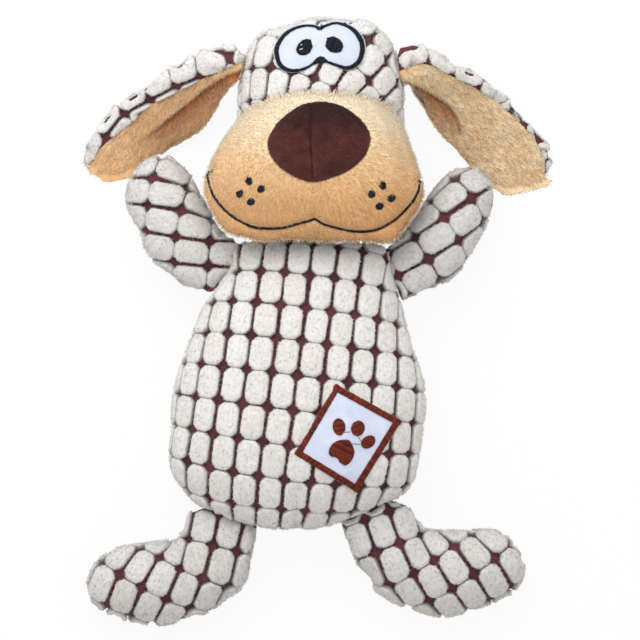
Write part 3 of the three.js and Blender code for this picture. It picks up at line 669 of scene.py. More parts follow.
def tufted(graph, given, surface, density, nap, size):  # closed tufts of fibre standing on a surface
    scatter = graph.node("GeometryNodeDistributePointsOnFaces", {
        "Mesh": surface, "Density": density, "Seed": given["Seed"] + 4,
    }, out="Points", distribute_method="RANDOM")
    stray = randomOf(graph, "FLOAT_VECTOR", (-1, -1, -1), (1, 1, 1), given["Seed"] + 5)
    way = scatter.other("Normal") + nap + stray * given["Spread"]
    turn = graph.node("FunctionNodeAlignEulerToVector", {"Vector": way}, axis="Z")
    tuft = graph.node("GeometryNodeMeshCone", {
        "Vertices": 3, "Radius Top": 0.0, "Radius Bottom": given["Tuft Radius"], "Depth": given["Tuft Length"],
    }, fill_type="NGON")
    level = graph.node("ShaderNodeSeparateXYZ", {0: graph.node("GeometryNodeInputPosition")}, out="Z")
    tuft = kept(graph, tuft, "tip", level / given["Tuft Length"])
    tufts = graph.node("GeometryNodeInstanceOnPoints", {
        "Points": scatter, "Instance": tuft, "Rotation": turn,
        "Scale": randomOf(graph, "FLOAT", *variety["tufts"], given["Seed"] + 6) * size,
    })
    return toned(graph, tufts, given["Seed"] + 7, "INSTANCE")


def cobbleTree():  # stones in rows on a flat pattern, laid on the stuffed form that the pattern was cut for
    graph, given = newTree("cobbles", {
        "Stone": "Object", "Across": "Float", "Along": "Float", "Columns": "Int", "Rows": "Int",
        "Uneven": "Float", "Fade": "Float", "Fuzz": "Float", "Tuft Length": "Float", "Tuft Radius": "Float",
        "Spread": "Float", "Seed": "Int", "Material": "Material",
    })
    flat = given["Geometry"]
    grid = graph.node("GeometryNodeMeshGrid", {
        "Size X": given["Across"] * (given["Columns"] - 1), "Size Y": given["Along"] * (given["Rows"] - 1),
        "Vertices X": given["Columns"], "Vertices Y": given["Rows"],
    })
    points = graph.node("GeometryNodeMeshToPoints", {"Mesh": grid})
    shake = randomOf(graph, "FLOAT_VECTOR", (-1, -1, 0), (1, 1, 0), given["Seed"])
    points = graph.node("GeometryNodeSetPosition", {"Geometry": points, "Offset": shake * given["Uneven"]})
    away = graph.node("GeometryNodeProximity", {0: flat}, out="Distance", target_element="FACES")
    far = graph.node("FunctionNodeCompare", {0: away, 1: given["Along"] * 0.5}, operation="GREATER_THAN")
    points = graph.node("GeometryNodeDeleteGeometry", {"Geometry": points, "Selection": far})
    stone = graph.node("GeometryNodeObjectInfo", {"Object": given["Stone"]}, out="Geometry")
    most = variety["turn"]
    turn = randomOf(graph, "FLOAT_VECTOR", (0, 0, -most), (0, 0, most), given["Seed"] + 1)
    size = randomOf(graph, "FLOAT_VECTOR", variety["smallest"], variety["largest"], given["Seed"] + 2)
    stones = graph.node("GeometryNodeInstanceOnPoints", {
        "Points": points, "Instance": stone, "Rotation": turn, "Scale": size,
    })
    stones = toned(graph, stones, given["Seed"] + 3, "INSTANCE")
    stones = graph.node("GeometryNodeRealizeInstances", {"Geometry": stones})
    place = graph.node("GeometryNodeInputPosition")
    wander = graph.node("ShaderNodeTexNoise", {
        "Vector": place, "Scale": variety["wander"], "Detail": 2.0,
    }, out="Color")
    ragged = (wander - (0.5, 0.5, 0.5)) * variety["ragged"]
    ragged = ragged * named(graph, "rim")
    stones = graph.node("GeometryNodeSetPosition", {"Geometry": stones, "Offset": ragged})
    stones = kept(graph, stones, "flatPlace", place, "FLOAT_VECTOR")
    parts = graph.node("ShaderNodeSeparateXYZ", {0: place})
    ground = graph.node("ShaderNodeCombineXYZ", {"X": parts, "Y": parts.other("Y")})

    def sampled(name, kind):
        values = {"Mesh": flat, "Value": named(graph, name, kind), "Sample Position": ground}
        return graph.node("GeometryNodeSampleNearestSurface", values, data_type=kind)

    inward = rangeOf(graph, sampled("edgeDistance", "FLOAT"), 0.0, given["Fade"])
    rise = parts.other("Z") * inward * sampled("room", "FLOAT")
    surface = sampled("skinPlace", "FLOAT_VECTOR") + sampled("skinNormal", "FLOAT_VECTOR") * rise
    stones = graph.node("GeometryNodeSetPosition", {"Geometry": stones, "Position": surface})
    stones = graph.node("GeometryNodeMergeByDistance", {"Geometry": stones, "Distance": variety["merged"]})
    density = given["Fuzz"] * (named(graph, "rim") + variety["crownFuzz"])
    fuzz = tufted(graph, given, stones, density, (0, 0, 0), 1.0)
    both = graph.node("GeometryNodeJoinGeometry", {"Geometry": [stones, fuzz]})
    return ended(graph, both, given["Material"])


def pileTree():  # pile that leans with its nap
    graph, given = newTree("pile", {
        "Fuzz": "Float", "Tuft Length": "Float", "Tuft Radius": "Float", "Lean": "Float", "Spread": "Float",
        "Seed": "Int", "Material": "Material",
    })
    density = given["Fuzz"] * named(graph, "pile")
    nap = named(graph, "nap", "FLOAT_VECTOR") * given["Lean"]
    tufts = tufted(graph, given, given["Geometry"], density, nap, named(graph, "long"))
    return ended(graph, tufts, given["Material"])


def threadTree():  # one bowed thread along each loose edge
    graph, given = newTree("threads", {
        "Radius": "Float", "Bow": "Float", "Seed": "Int", "Material": "Material",
    })
    lines = graph.node("GeometryNodeMeshToCurve", {"Mesh": given["Geometry"]})
    lines = graph.node("GeometryNodeResampleCurve", {
        "Curve": lines, "Count": variety["threadPoints"],
    })
    along = graph.node("GeometryNodeSplineParameter", out="Factor")
    uneven = randomOf(graph, "FLOAT", *variety["bows"], given["Seed"] + 1)
    lines = kept(graph, lines, "uneven", uneven, domain="CURVE")
    bow = along * (1 - along) * 4 * given["Bow"] * named(graph, "uneven")
    lift = named(graph, "lift", "FLOAT_VECTOR")
    lines = graph.node("GeometryNodeSetPosition", {"Geometry": lines, "Offset": lift * bow})
    lines = toned(graph, lines, given["Seed"], "CURVE")
    section = graph.node("GeometryNodeCurvePrimitiveCircle", {
        "Resolution": variety["threadSides"], "Radius": given["Radius"],
    })
    threads = graph.node("GeometryNodeCurveToMesh", {
        "Curve": lines, "Profile Curve": section, "Fill Caps": True,
    })
    return ended(graph, threads, given["Material"])


trees = {"cobbles": cobbleTree(), "pile": pileTree(), "threads": threadTree()}
print("node trees made")


# Stuffed forms: the CAD solids' own space, puffed by a cloth simulation and cut into cloth panels
stuffing = {"pressure": 4, "frames": 20, "most": 0.9 * mm}
spacing = {"touch": 0.2 * mm, "free": 1.4 * mm}  # plush rises between these distances from a neighbour
skin = {
    "smoothing": 0.5,
    "mixing": 1.5 * mm,  # the plush's depth changes over this distance from one cloth to the next
    "least": 1e-9,
    "snap": 0.12,  # a cut this near to a vertex, as a share of the edge, goes through the vertex
    "seam": (0.5 * mm, 1.6 * mm),  # depth and width of its furrow
    "anchorLevel": 30 * mm,
    "anchorReach": 9 * mm,  # the grain is measured this far round the anchor
}


def puffed(form, room):  # swells the form by simulated pressure, as filling does
    before = coordinates(form.data)
    cloth = form.modifiers.new("stuffed", "CLOTH")
    cloth.settings.use_pressure = True
    cloth.settings.uniform_pressure_force = stuffing["pressure"]
    cloth.settings.effector_weights.gravity = 0
    for step in range(1, stuffing["frames"] + 1):
        scene.frame_set(step)
    baked(form)
    scene.frame_set(1)
    change = coordinates(form.data) - before
    size = np.linalg.norm(change, axis=1)
    most = stuffing["most"] * room
    change *= (np.minimum(size, most) / np.maximum(size, skin["least"]))[:, None]
    after = before + change
    after[:, 2] = np.maximum(after[:, 2], np.minimum(before[:, 2], before[:, 2].min() + stuffing["most"]))
    moved(form.data, after)


def cutAlong(work, layer):  # new edges where the layer's value is zero
    near = skin["snap"]
    for edge in work.edges:
        first, second = edge.verts
        if first[layer] * second[layer] < 0:
            share = first[layer] / (first[layer] - second[layer])
            if share < near:
                first[layer] = 0
            elif share > 1 - near:
                second[layer] = 0
    for edge in list(work.edges):
        first, second = edge.verts
        if first[layer] * second[layer] < 0:
            share = first[layer] / (first[layer] - second[layer])
            _, middle = bmesh.utils.edge_split(edge, first, share)
            middle[layer] = 0
    for face in list(work.faces):
        zeros = [v for v in face.verts if v[layer] == 0]
        values = [v[layer] for v in face.verts]
        if len(zeros) == 2 and min(values) < 0 < max(values):
            if not any(zeros[1] in edge.verts for edge in zeros[0].link_edges):
                bmesh.utils.face_split(face, zeros[0], zeros[1])


def skinOf(name, cloths, inner, near, voxel, stuffed=True, seam=skin["seam"], pushes=(), divided=None,
           shaped=None):
    # cloths: {CAD panels: depth of their plush}; near: the neighbours that the plush makes room for
    panels = list(cloths)
    form = joinedCopy(name, panels + inner)
    mesher = form.modifiers.new("voxels", "REMESH")
    mesher.mode = "VOXEL"
    mesher.voxel_size = voxel
    baked(form)
    mesh = form.data
    with edited(mesh) as work:
        largestIsland(work)
        axes = {"use_axis_x": True, "use_axis_y": True, "use_axis_z": True}
        bmesh.ops.smooth_vert(work, verts=work.verts, factor=skin["smoothing"], **axes)
    places = coordinates(mesh)
    reach = np.array([distancesTo(nodeTree([panel]), places) for panel in panels])
    share = np.exp(-reach / skin["mixing"]) + skin["least"]
    depth = (share * np.array(list(cloths.values()))[:, None]).sum(0) / share.sum(0)
    normals = vertexNormals(mesh)
    for pixel, push, radius in pushes:  # where the filling bulges the outline or slackens, in pixels
        away = np.linalg.norm(places[:, :2] - np.array(placed(pixel))[:2], axis=1)
        push = np.array((push[0], -push[1])) * photo["pixel"]
        places[:, :2] += bell(away, radius * photo["pixel"])[:, None] * push
    room = smoothStep(distancesTo(nodeTree(near), places), spacing["touch"], spacing["free"])
    moved(mesh, places - normals * (depth * room)[:, None])
    for index in range(len(panels)):
        stored(mesh, f"side{index}", reach[index] - np.delete(reach, index, 0).min(0))
    stored(mesh, "room", room)
    if stuffed:
        puffed(form, room)
    if divided:
        divided(form.data)
    cutApart(form, panels)
    finer = form.modifiers.new("finer", "SUBSURF")
    finer.levels = 1
    finer.render_levels = 1
    baked(form)
    if shaped:
        shaped(form.data)
    drawnIn(form, *seam)
    return form


def cutApart(form, panels):  # cuts the form's faces into its panels and unwraps them as flat cloth
    with edited(form.data) as work:
        for index in range(len(panels) - 1):
            cutAlong(work, work.verts.layers.float[f"side{index}"])
        region = work.faces.layers.int.new("region")
        sides = [work.verts.layers.float[f"side{index}"] for index in range(len(panels))]
        for face in work.faces:
            sums = [sum(v[side] for v in face.verts) for side in sides]
            face[region] = sums.index(min(sums))
            face.smooth = True
        for edge in work.edges:
            edge.seam = len({face[region] for face in edge.link_faces}) > 1
    bpy.context.view_layer.objects.active = form
    form.select_set(True)
    bpy.ops.object.mode_set(mode="EDIT")
    bpy.ops.mesh.select_all(action="SELECT")
    bpy.ops.uv.unwrap(method="MINIMUM_STRETCH", margin=0)
    bpy.ops.object.mode_set(mode="OBJECT")
    form.select_set(False)


def nearTo(places):  # a search tree over places
    tree = KDTree(len(places))
    for index, place in enumerate(places):
        tree.insert(place, index)
    tree.balance()
    return tree


def drawnIn(form, seamDepth, seamWidth):  # the seams pull the cloth in
    with edited(form.data) as work:
        region = work.faces.layers.int["region"]
        tree = nearTo([v.co for v in work.verts if len({f[region] for f in v.link_faces}) > 1])
        work.normal_update()
        room = work.verts.layers.float["room"]
        pulls = [v.normal * (seamDepth * float(bell(tree.find(v.co)[2], seamWidth)) * v[room])
                 for v in work.verts]
        for vert, pull in zip(work.verts, pulls):
            vert.co -= pull


def panelOf(form, index):  # one cloth panel of a form, as a bmesh with its places and normals kept
    work = bmesh.new()
    work.from_mesh(form.data)
    work.normal_update()
    normal = work.verts.layers.float_vector.new("skinNormal")
    place = work.verts.layers.float_vector.new("skinPlace")
    for vert in work.verts:
        vert[normal] = vert.normal
        vert[place] = vert.co
    region = work.faces.layers.int["region"]
    others = [f for f in work.faces if f[region] != index]
    bmesh.ops.delete(work, geom=others, context="FACES")
    largestIsland(work)
    return work


def flatArea(corners):
    nexts = np.roll(corners, -1, axis=0)
    return 0.5 * float((corners[:, 0] * nexts[:, 1] - corners[:, 1] * nexts[:, 0]).sum())


def flattened(name, form, index, anchor, grain, side=1):
    # the panel as the flat cloth it was cut from: anchor at (0, 0) and the grain along Y
    work = panelOf(form, index)
    mesh = bpy.data.meshes.new(name)
    work.to_mesh(mesh)
    flat = newObject(name, mesh)
    corners = np.empty(len(mesh.loops), int)
    mesh.loops.foreach_get("vertex_index", corners)
    uvs = np.empty(len(mesh.loops) * 2)
    mesh.uv_layers.active.uv.foreach_get("vector", uvs)
    pairs = np.zeros((len(mesh.vertices), 2))
    pairs[corners] = uvs.reshape(-1, 2)
    flatAreas = [flatArea(pairs[list(p.vertices)]) for p in mesh.polygons]
    pairs *= math.sqrt(sum(p.area for p in mesh.polygons) / sum(abs(a) for a in flatAreas))
    if sum(flatAreas) < 0:
        pairs[:, 0] *= -1
    tree = BVHTree.FromBMesh(work)
    hit, hitNormal, _, _ = tree.ray_cast(Vector((anchor[0], anchor[1], side)), up * -side)
    if hit is None:
        hit, hitNormal, _, _ = tree.find_nearest(Vector((anchor[0], anchor[1], skin["anchorLevel"])))
    along = Vector((math.cos(math.radians(grain)), math.sin(math.radians(grain)), 0))
    along = (along - hitNormal * along.dot(hitNormal)).normalized()
    across = hitNormal.cross(along)
    offsets = coordinates(mesh) - np.array(hit)
    close = np.linalg.norm(offsets, axis=1) < skin["anchorReach"]
    local = np.column_stack([offsets[close] @ along, offsets[close] @ across, np.ones(close.sum())])
    fit = np.linalg.lstsq(local, pairs[close], rcond=None)[0]
    turn = math.pi / 2 - math.atan2(fit[0][1], fit[0][0])
    pairs -= fit[2]
    cos, sin = math.cos(turn), math.sin(turn)
    turned = np.column_stack([
        pairs[:, 0] * cos - pairs[:, 1] * sin, pairs[:, 0] * sin + pairs[:, 1] * cos, np.zeros(len(pairs)),
    ])
    rim = nearTo([turned[v.index] for v in work.verts if v.is_boundary])
    stored(mesh, "edgeDistance", [rim.find(place)[2] for place in turned.tolist()])
    moved(mesh, turned)
    work.free()
    return flat


# Cobbles: raised plush stones in columns, end to end, with the backing between them
stone = {
    "across": 13.0 * mm,  # from one column to the next
    "along": 17.4 * mm,
    "width": 11.2 * mm,
    "length": 17.3 * mm,  # nearly the spacing, so the fibres of a column's stones touch
    "endWidth": 5.4 * mm,
    "straight": 11.8 * mm,  # the part of the length that has the full width
    "corner": 0.12,  # share of a side that its rounded corners take
    "height": 3.2 * mm,
    "plush": 2.3 * mm,  # how deep the backing lies under the CAD's surface
    "uneven": 0.3 * mm,
    "fade": 1.1 * mm,  # the stones run down to nothing over this width beside a seam
    "fuzz": 9.5e5,  # tufts a square metre of their sides
    "tuftLength": 1.0 * mm,
    "tuftRadius": 0.3 * mm,
    "spread": 0.6,
    # [share of the outline, share of the height, how much of the rim and how much of the foot it is]
    "rings": [(0.98, -0.25, 0.0, 1.0), (1.0, 0.5, 1.0, 0.35), (0.965, 0.88, 0.8, 0.0), (0.8, 1.0, 0.3, 0.0)],
    "crownRim": 0.2,
}


def stoneOutline():  # an octagon with its corners rounded
    right = [(stone["width"] / 2, -stone["straight"] / 2), (stone["width"] / 2, stone["straight"] / 2),
             (stone["endWidth"] / 2, stone["length"] / 2)]
    upper = right + [(-x, y) for x, y in reversed(right)]
    corners = [Vector(c) for c in upper] + [Vector((x, -y)) for x, y in (upper[3], upper[2])]
    points = []
    for index, corner in enumerate(corners):
        points.append(corner.lerp(corners[index - 1], stone["corner"]))
        points.append(corner.lerp(corners[(index + 1) % len(corners)], stone["corner"]))
    return points


def stoneMesh():
    work = bmesh.new()
    rimLayer = work.verts.layers.float.new("rim")
    footLayer = work.verts.layers.float.new("foot")
    outline = stoneOutline()
    loops = []
    for size, level, rim, foot in stone["rings"]:
        loop = [work.verts.new((p.x * size, p.y * size, level * stone["height"])) for p in outline]
        for vert in loop:
            vert[rimLayer] = rim
            vert[footLayer] = foot
        loops.append(loop)
    pairs = [(index, (index + 1) % len(outline)) for index in range(len(outline))]
    for low, high in zip(loops, loops[1:]):
        for index, after in pairs:
            work.faces.new((low[index], low[after], high[after], high[index]))
    crown = work.verts.new((0, 0, stone["height"]))
    crown[rimLayer] = stone["crownRim"]
    for index, after in pairs:
        work.faces.new((loops[-1][index], loops[-1][after], crown))
    work.faces.new(list(reversed(loops[0])))
    bmesh.ops.recalc_face_normals(work, faces=work.faces)
    return bmeshObject("oneStone", work)


oneStone = stoneMesh()
root = {"start": -1 * mm, "end": 11 * mm}  # a sewn-on piece is held between these, from the hinge outwards


seeds = {
    "torso": 11, "head": 21, "muzzle": 23, "nose": 25, "limbs": 31, "ears": 41,
    "limbBacks": 5, "earPiles": 3,  # added to those of the limbs and the ears
}


def entered(piece, body, nodes=()):  # what the frame has to know of a piece
    if nodes:
        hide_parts(*nodes)
    joint = next((j for j in frame["joints"] if j["child"] == body and body != "head"), None)
    if joint is None:
        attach(piece, body)
        return piece
    outward = up.cross(Vector(joint["axis"])).normalized()
    start, end = (Vector(joint["pos_m"]) + outward * root[key] for key in ("start", "end"))
    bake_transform(piece, joint["parent"], body, tuple(start), tuple(end))
    return piece


def cobbled(name, body, form, index, anchor, grain, seed, side=1, nodes=(), material=finish["cobble"]):
    flat = flattened(name + "Flat", form, index, anchor, grain, side)
    reach = np.abs(coordinates(flat.data)).max(0)
    made = run(trees["cobbles"], name, flat, {
        "Stone": oneStone, "Across": stone["across"], "Along": stone["along"],
        "Columns": 2 * math.ceil(reach[0] / stone["across"]) + 3,
        "Rows": 2 * math.ceil(reach[1] / stone["along"]) + 3,
        "Uneven": stone["uneven"], "Fade": stone["fade"], "Fuzz": stone["fuzz"],
        "Tuft Length": stone["tuftLength"], "Tuft Radius": stone["tuftRadius"], "Spread": stone["spread"],
        "Seed": seed, "Material": material,
    })
    bpy.data.objects.remove(flat)
    return entered(made, body, nodes)


def backed(form, body, nodes, materials):  # the cloth itself, round its filling
    for material in materials:
        form.data.materials.append(material)
    regions = np.empty(len(form.data.polygons), int)
    form.data.attributes["region"].data.foreach_get("value", regions)
    form.data.polygons.foreach_set("material_index", regions)
    return entered(form, body, nodes)


def napped(mesh, pile, nap, long=1.0):  # how dense the pile is, which way it leans and how long it is
    count = len(mesh.vertices)
    stored(mesh, "pile", pile)
    stored(mesh, "nap", np.broadcast_to(nap, (count, 3)))
    stored(mesh, "long", np.broadcast_to(long, count))


def piled(name, body, form, material, look, seed):  # pile over the part of a form that has it
    made = run(trees["pile"], name, form, {
        "Fuzz": look["fuzz"], "Tuft Length": look["length"], "Tuft Radius": look["radius"],
        "Lean": look["lean"], "Spread": look["spread"], "Seed": seed, "Material": material,
    })
    return entered(made, body)


limbNodes = [f"{limb}_{part}_panel" for limb in ("arm_left", "arm_right", "leg_left", "leg_right")
             for part in ("front", "back")]
torsoNodes = ["torso_front_panel", "torso_back_panel"]
headNodes = ["head_back_panel", "head_crown_panel", "muzzle_panel"]


def pressedUnder(mesh, outline, share, width):  # the stones lie lower under what is sewn over them
    inside, _ = beside(coordinates(mesh), outline, closed=True)
    above = vertexNormals(mesh)[:, 2] > 0
    press = 1 - (1 - share) * smoothStep(inside, -width, 0) * above
    stored(mesh, "room", read(mesh, "room") * press)


# Belly patch's outline
patch = {
    "corners": [(335.5, 383.8), (294.4, 453.4), (356.6, 491.2), (400.7, 420)],
    "lift": 0.15 * mm, "thickness": 1.1 * mm, "press": 0.62, "pressWidth": 1.5 * mm,
    "border": 3.1 * mm, "inset": 40 * mm,  # the border is drawn in by its share of this
    "slant": 0.12, "points": 24,
}
patchOutline = traced(patch["corners"])

# Torso
torso = {
    "anchor": placed((287.3, 357.1)), "grain": 84,
    "backAnchor": (0, 10 * mm), "backGrain": 90,
    "voxel": 3.4 * mm, "fill": 0.75,
    "pushes": [((424, 380), (5, 0), 50), ((408, 492), (5, 4), 18), ((170, 464), (-5, 1), 25),
               ((185, 340), (2, 0), 40), ((243, 248), (-7, -5), 13), ((386, 250), (4, -3), 12),
               ((300, 530), (0, 3), 36)],
}
dart = {
    "line": traced([(296.5, 487), (296, 530)]), "depth": 1.4 * mm, "width": 2.4 * mm,
    "steepest": -0.2, "flattening": 0.6,
}


def shapedTorso(mesh):
    pressedUnder(mesh, patchOutline, patch["press"], patch["pressWidth"])
    normals = vertexNormals(mesh)
    away = beside(coordinates(mesh), dart["line"])[0]
    drawn = bell(away, dart["width"]) * (normals[:, 2] > dart["steepest"])
    stored(mesh, "room", read(mesh, "room") * (1 - dart["flattening"] * drawn))
    moved(mesh, coordinates(mesh) - normals * (dart["depth"] * drawn)[:, None])


def makeTorso():
    cloths = dict.fromkeys(torsoNodes, stone["plush"])
    form = skinOf("torso_backing", cloths, ["torso_stuffing"], headNodes + limbNodes, torso["voxel"],
                  pushes=torso["pushes"], shaped=shapedTorso)
    cobbled("torso_front_cobbles", "torso", form, 0, torso["anchor"], torso["grain"], seeds["torso"],
            nodes=["torso_front_panel"])
    cobbled("torso_back_cobbles", "torso", form, 1, torso["backAnchor"], torso["backGrain"],
            seeds["torso"] + 1, -1, ["torso_back_panel"])
    backed(form, "torso", ["torso_stuffing"], [finish["backing"]] * 2)


makeTorso()
print("torso made")

# Eyes' and mouth's lines, as the photograph shows them: [across, down, width in mm]
eyeLine = traced([
    (276.8, 52, 2.35), (280.2, 42.5, 2.05), (286.4, 35, 1.85), (296, 29.4, 1.35), (307.1, 27.2, 1.05),
    (315, 28, 1.15), (319.8, 30.2, 1.95), (325.5, 27.4, 1.15), (336.8, 24.6, 1.15), (350.9, 29.8, 1.75),
    (359.8, 40.1, 2.35), (362, 51.2, 2.35), (357.5, 63.8, 2.25), (347.2, 69.4, 1.95), (336, 66.4, 1.25),
    (327.2, 63.2, 1.15), (320.4, 60.4, 2.65), (313, 65.2, 1.15), (306.4, 69.2, 1.15), (296, 72, 1.45),
    (286.4, 70.5, 2.05), (279.8, 64.6, 2.05),
])
mouthLine = traced([
    (210.7, 163.5, 0.2), (208.6, 171, 0.4), (208.4, 178, 0.6), (214.5, 196.3, 0.8), (228.3, 213.2, 0.9),
    (245.1, 223.9, 0.9), (258.9, 228.5, 1.0), (281.8, 228.5, 1.0), (297.1, 224.6, 0.8), (309, 221.6, 0.8),
    (315, 219.8, 1.0), (321, 223.4, 0.8), (327.8, 226, 0.8), (350.7, 231.3, 0.9), (373.7, 230.8, 1.0),
    (393.6, 220.8, 0.8), (408.9, 205.5, 0.7), (416.5, 193.3, 0.6), (419.6, 179.5, 0.3),
])
dots = {
    "right": [(249.7, 182.2), (240.7, 194.6), (261.6, 190), (251.6, 202.5)],
    "left": [(382, 186.4), (371, 195), (390.5, 199), (379, 207)],
    "radius": 1.75 * mm, "depth": 0.5 * mm, "width": 2 * mm,
    "size": (3.5, 4), "turn": 25, "points": 10, "angle": 35, "angleStep": 30,
}
noseLine = traced([
    (268.6, 141.4), (275, 128.5), (283, 119.5), (296.5, 109.3), (307, 104.8), (320, 103.3), (334, 105),
    (346, 110), (358, 119), (367, 130), (369.8, 141.4), (363.5, 158), (348, 171.5), (330, 179), (312.4, 183),
    (294.8, 177.6), (279, 167), (270, 154),
])
noseStep = 1.5 * mm
noseRing = smoothLine(noseLine, noseStep, closed=True)[::-1]  # walked anticlockwise
stitching = {
    "pitch": 0.46 * mm,
    "reach": 2.2 * mm,  # a long stitch touches the cloth at least this often
    "waver": 0.12 * mm, "filledWaver": 0.1 * mm,
    "slant": 0.1,
    "above": 0.5,  # share of its radius that a thread's middle lies above the cloth
}
faceLines = {
    "eyes": smoothLine(eyeLine, stitching["pitch"], closed=True),
    "mouth": smoothLine(mouthLine, stitching["pitch"]),
    "centre": traced([(314, 184), (315, 219)]),
    "chin": traced([(316, 231), (317, 247)]),
}

# Head
head = {
    "anchor": placed((261.5, 86)), "grain": 90,
    "backAnchor": (9 * mm, 140 * mm), "backGrain": 90,
    "voxel": 3.2 * mm, "fill": 0.8, "muzzlePlush": 0.5 * mm,
    "feltPress": 0.5, "pressWidth": 2.8 * mm,
    "creases": [("mouth", 1.3 * mm, 2.2 * mm), ("centre", 0.5 * mm, 2 * mm), ("chin", 0.5 * mm, 1.8 * mm)],
    "front": (-0.3, 0.2),  # normals upward of these are the front
    "pileEdge": (0.3 * mm, -0.6 * mm),
    "bare": 1.1 * mm,  # beside the mouth's stitches
    "nosePile": (-0.9 * mm, 0), "seatEdge": (-0.8 * mm, 0.6 * mm),
    "seat": 2.2 * mm,  # the muzzle's plush lies this much lower under the nose
    "longer": 0.9, "longerWidth": 3 * mm,  # the pile beside the seams
    "pushes": [((282, 15), (1, 9), 26), ((340, 13), (0, 5), 26), ((238, 237), (-8, 8), 18),
               ((264, 244), (-1, 7), 18), ((220, 222), (-5, 5), 13), ((391, 240), (4, 6), 14),
               ((204, 202), (-6, 3), 18), ((205, 172), (-3, 0), 16), ((424, 190), (3, 0), 16)],
}
muzzlePile = {"fuzz": 1.4e6, "length": 1.8 * mm, "radius": 0.28 * mm, "lean": 2.4, "spread": 0.6}
eye = {"lift": 0.2 * mm, "thickness": 1.0 * mm, "margin": 0.35 * mm}


def offsetLine(line, distance):  # a closed line moved out to its right
    way = np.roll(line, -1, axis=0)[:, :2] - np.roll(line, 1, axis=0)[:, :2]
    way /= np.linalg.norm(way, axis=1)[:, None]
    return line[:, :2] + np.column_stack([way[:, 1], -way[:, 0]]) * np.reshape(distance, (-1, 1))


eyeRing = faceLines["eyes"][::-1]  # walked anticlockwise
eyeOutline = offsetLine(eyeRing, eyeRing[:, 2] * mm / 2 + eye["margin"])[::2]


def shapedHead(mesh):
    pressedUnder(mesh, eyeOutline, head["feltPress"], head["pressWidth"])
    places = coordinates(mesh)
    normals = vertexNormals(mesh)
    front = smoothStep(normals[:, 2], *head["front"])
    pull = np.zeros(len(places))
    pile = smoothStep(read(mesh, "side0"), *head["pileEdge"])
    for name, depth, width in head["creases"]:
        pull += depth * bell(beside(places, faceLines[name])[0], width) * front
    pile *= 1 - bell(beside(places, faceLines["mouth"])[0], head["bare"]) * front
    for spot in traced(dots["right"] + dots["left"]):
        away = np.linalg.norm(places[:, :2] - spot, axis=1)
        pile *= 1 - (away < dots["radius"]) * front
        pull += dots["depth"] * bell(away, dots["width"]) * front
    inNose = beside(places, noseRing, closed=True)[0]
    pile *= 1 - smoothStep(inNose, *head["nosePile"]) * front
    pull += head["seat"] * smoothStep(inNose, *head["seatEdge"]) * front
    outward = places[:, :2] - noseLine[:, :2].mean(0)
    outward /= np.linalg.norm(outward, axis=1)[:, None] + skin["least"]
    nap = np.column_stack([outward, np.zeros(len(places))])
    napped(mesh, pile, nap, 1 + head["longer"] * bell(read(mesh, "side0"), head["longerWidth"]))
    moved(mesh, places - normals * pull[:, None])


def makeHead():
    cloths = {
        "muzzle_panel": head["muzzlePlush"],
        "head_crown_panel": stone["plush"],
        "head_back_panel": stone["plush"],
    }
    near = torsoNodes + limbNodes + [f"ear_{side}_{part}_panel" for side in ("left", "right")
                                     for part in ("tan", "cobbled")]
    form = skinOf("head_backing", cloths, ["head_stuffing"], near, head["voxel"], pushes=head["pushes"],
                  shaped=shapedHead)
    cobbled("head_crown_cobbles", "head", form, 1, head["anchor"], head["grain"], seeds["head"],
            nodes=["head_crown_panel"])
    cobbled("head_back_cobbles", "head", form, 2, head["backAnchor"], head["backGrain"],
            seeds["head"] + 1, -1, ["head_back_panel"])
    piled("muzzle_pile", "head", form, finish["muzzle"], muzzlePile, seeds["muzzle"])
    materials = [finish["muzzle"], finish["backing"], finish["backing"]]
    return backed(form, "head", ["head_stuffing", "muzzle_panel"], materials)


headForm = makeHead()
print("head made")

# Closed forms that lie on a surface
inSheet = {"gap": 0.6, "tolerance": 1e-7}  # the gap is between the outline and the grid inside it, in steps


def sheet(name, outline, surface, lift, heightOf, step, upright=False):
    low, high = outline.min(0), outline.max(0)
    columns, rows = (np.arange(low[axis], high[axis], step) for axis in range(2))
    grid = np.array([(x, y) for x in columns for y in rows])
    grid = grid[beside(grid, outline, closed=True)[0] > inSheet["gap"] * step]
    points = [Vector(point) for point in np.vstack([outline, grid])]
    ring = [(i, (i + 1) % len(outline)) for i in range(len(outline))]
    flat, _, faces, _, _, _ = delaunay_2d_cdt(points, ring, [], 1, inSheet["tolerance"])
    heights = heightOf(np.array(flat), beside(np.array(flat), outline, closed=True)[0])
    work = bmesh.new()
    tops, bottoms = [], []
    for place, height in zip(flat, heights):
        hit, normal = onTop(surface, place)
        way = up if upright else normal
        tops.append(work.verts.new(hit + way * (lift + height)))
        bottoms.append(work.verts.new(hit + way * lift))
    sides = set()
    for face in faces:
        work.faces.new([tops[i] for i in face])
        work.faces.new([bottoms[i] for i in reversed(face)])
        sides |= {(face[i - 1], face[i]) for i in range(len(face))}
    for first, second in sorted(sides):
        if (second, first) not in sides:
            work.faces.new((tops[second], tops[first], bottoms[first], bottoms[second]))
    loose = [v for v in work.verts if not v.link_faces]
    bmesh.ops.delete(work, geom=loose, context="VERTS")
    bmesh.ops.recalc_face_normals(work, faces=work.faces)
    for face in work.faces:
        face.smooth = True
    return bmeshObject(name, work)


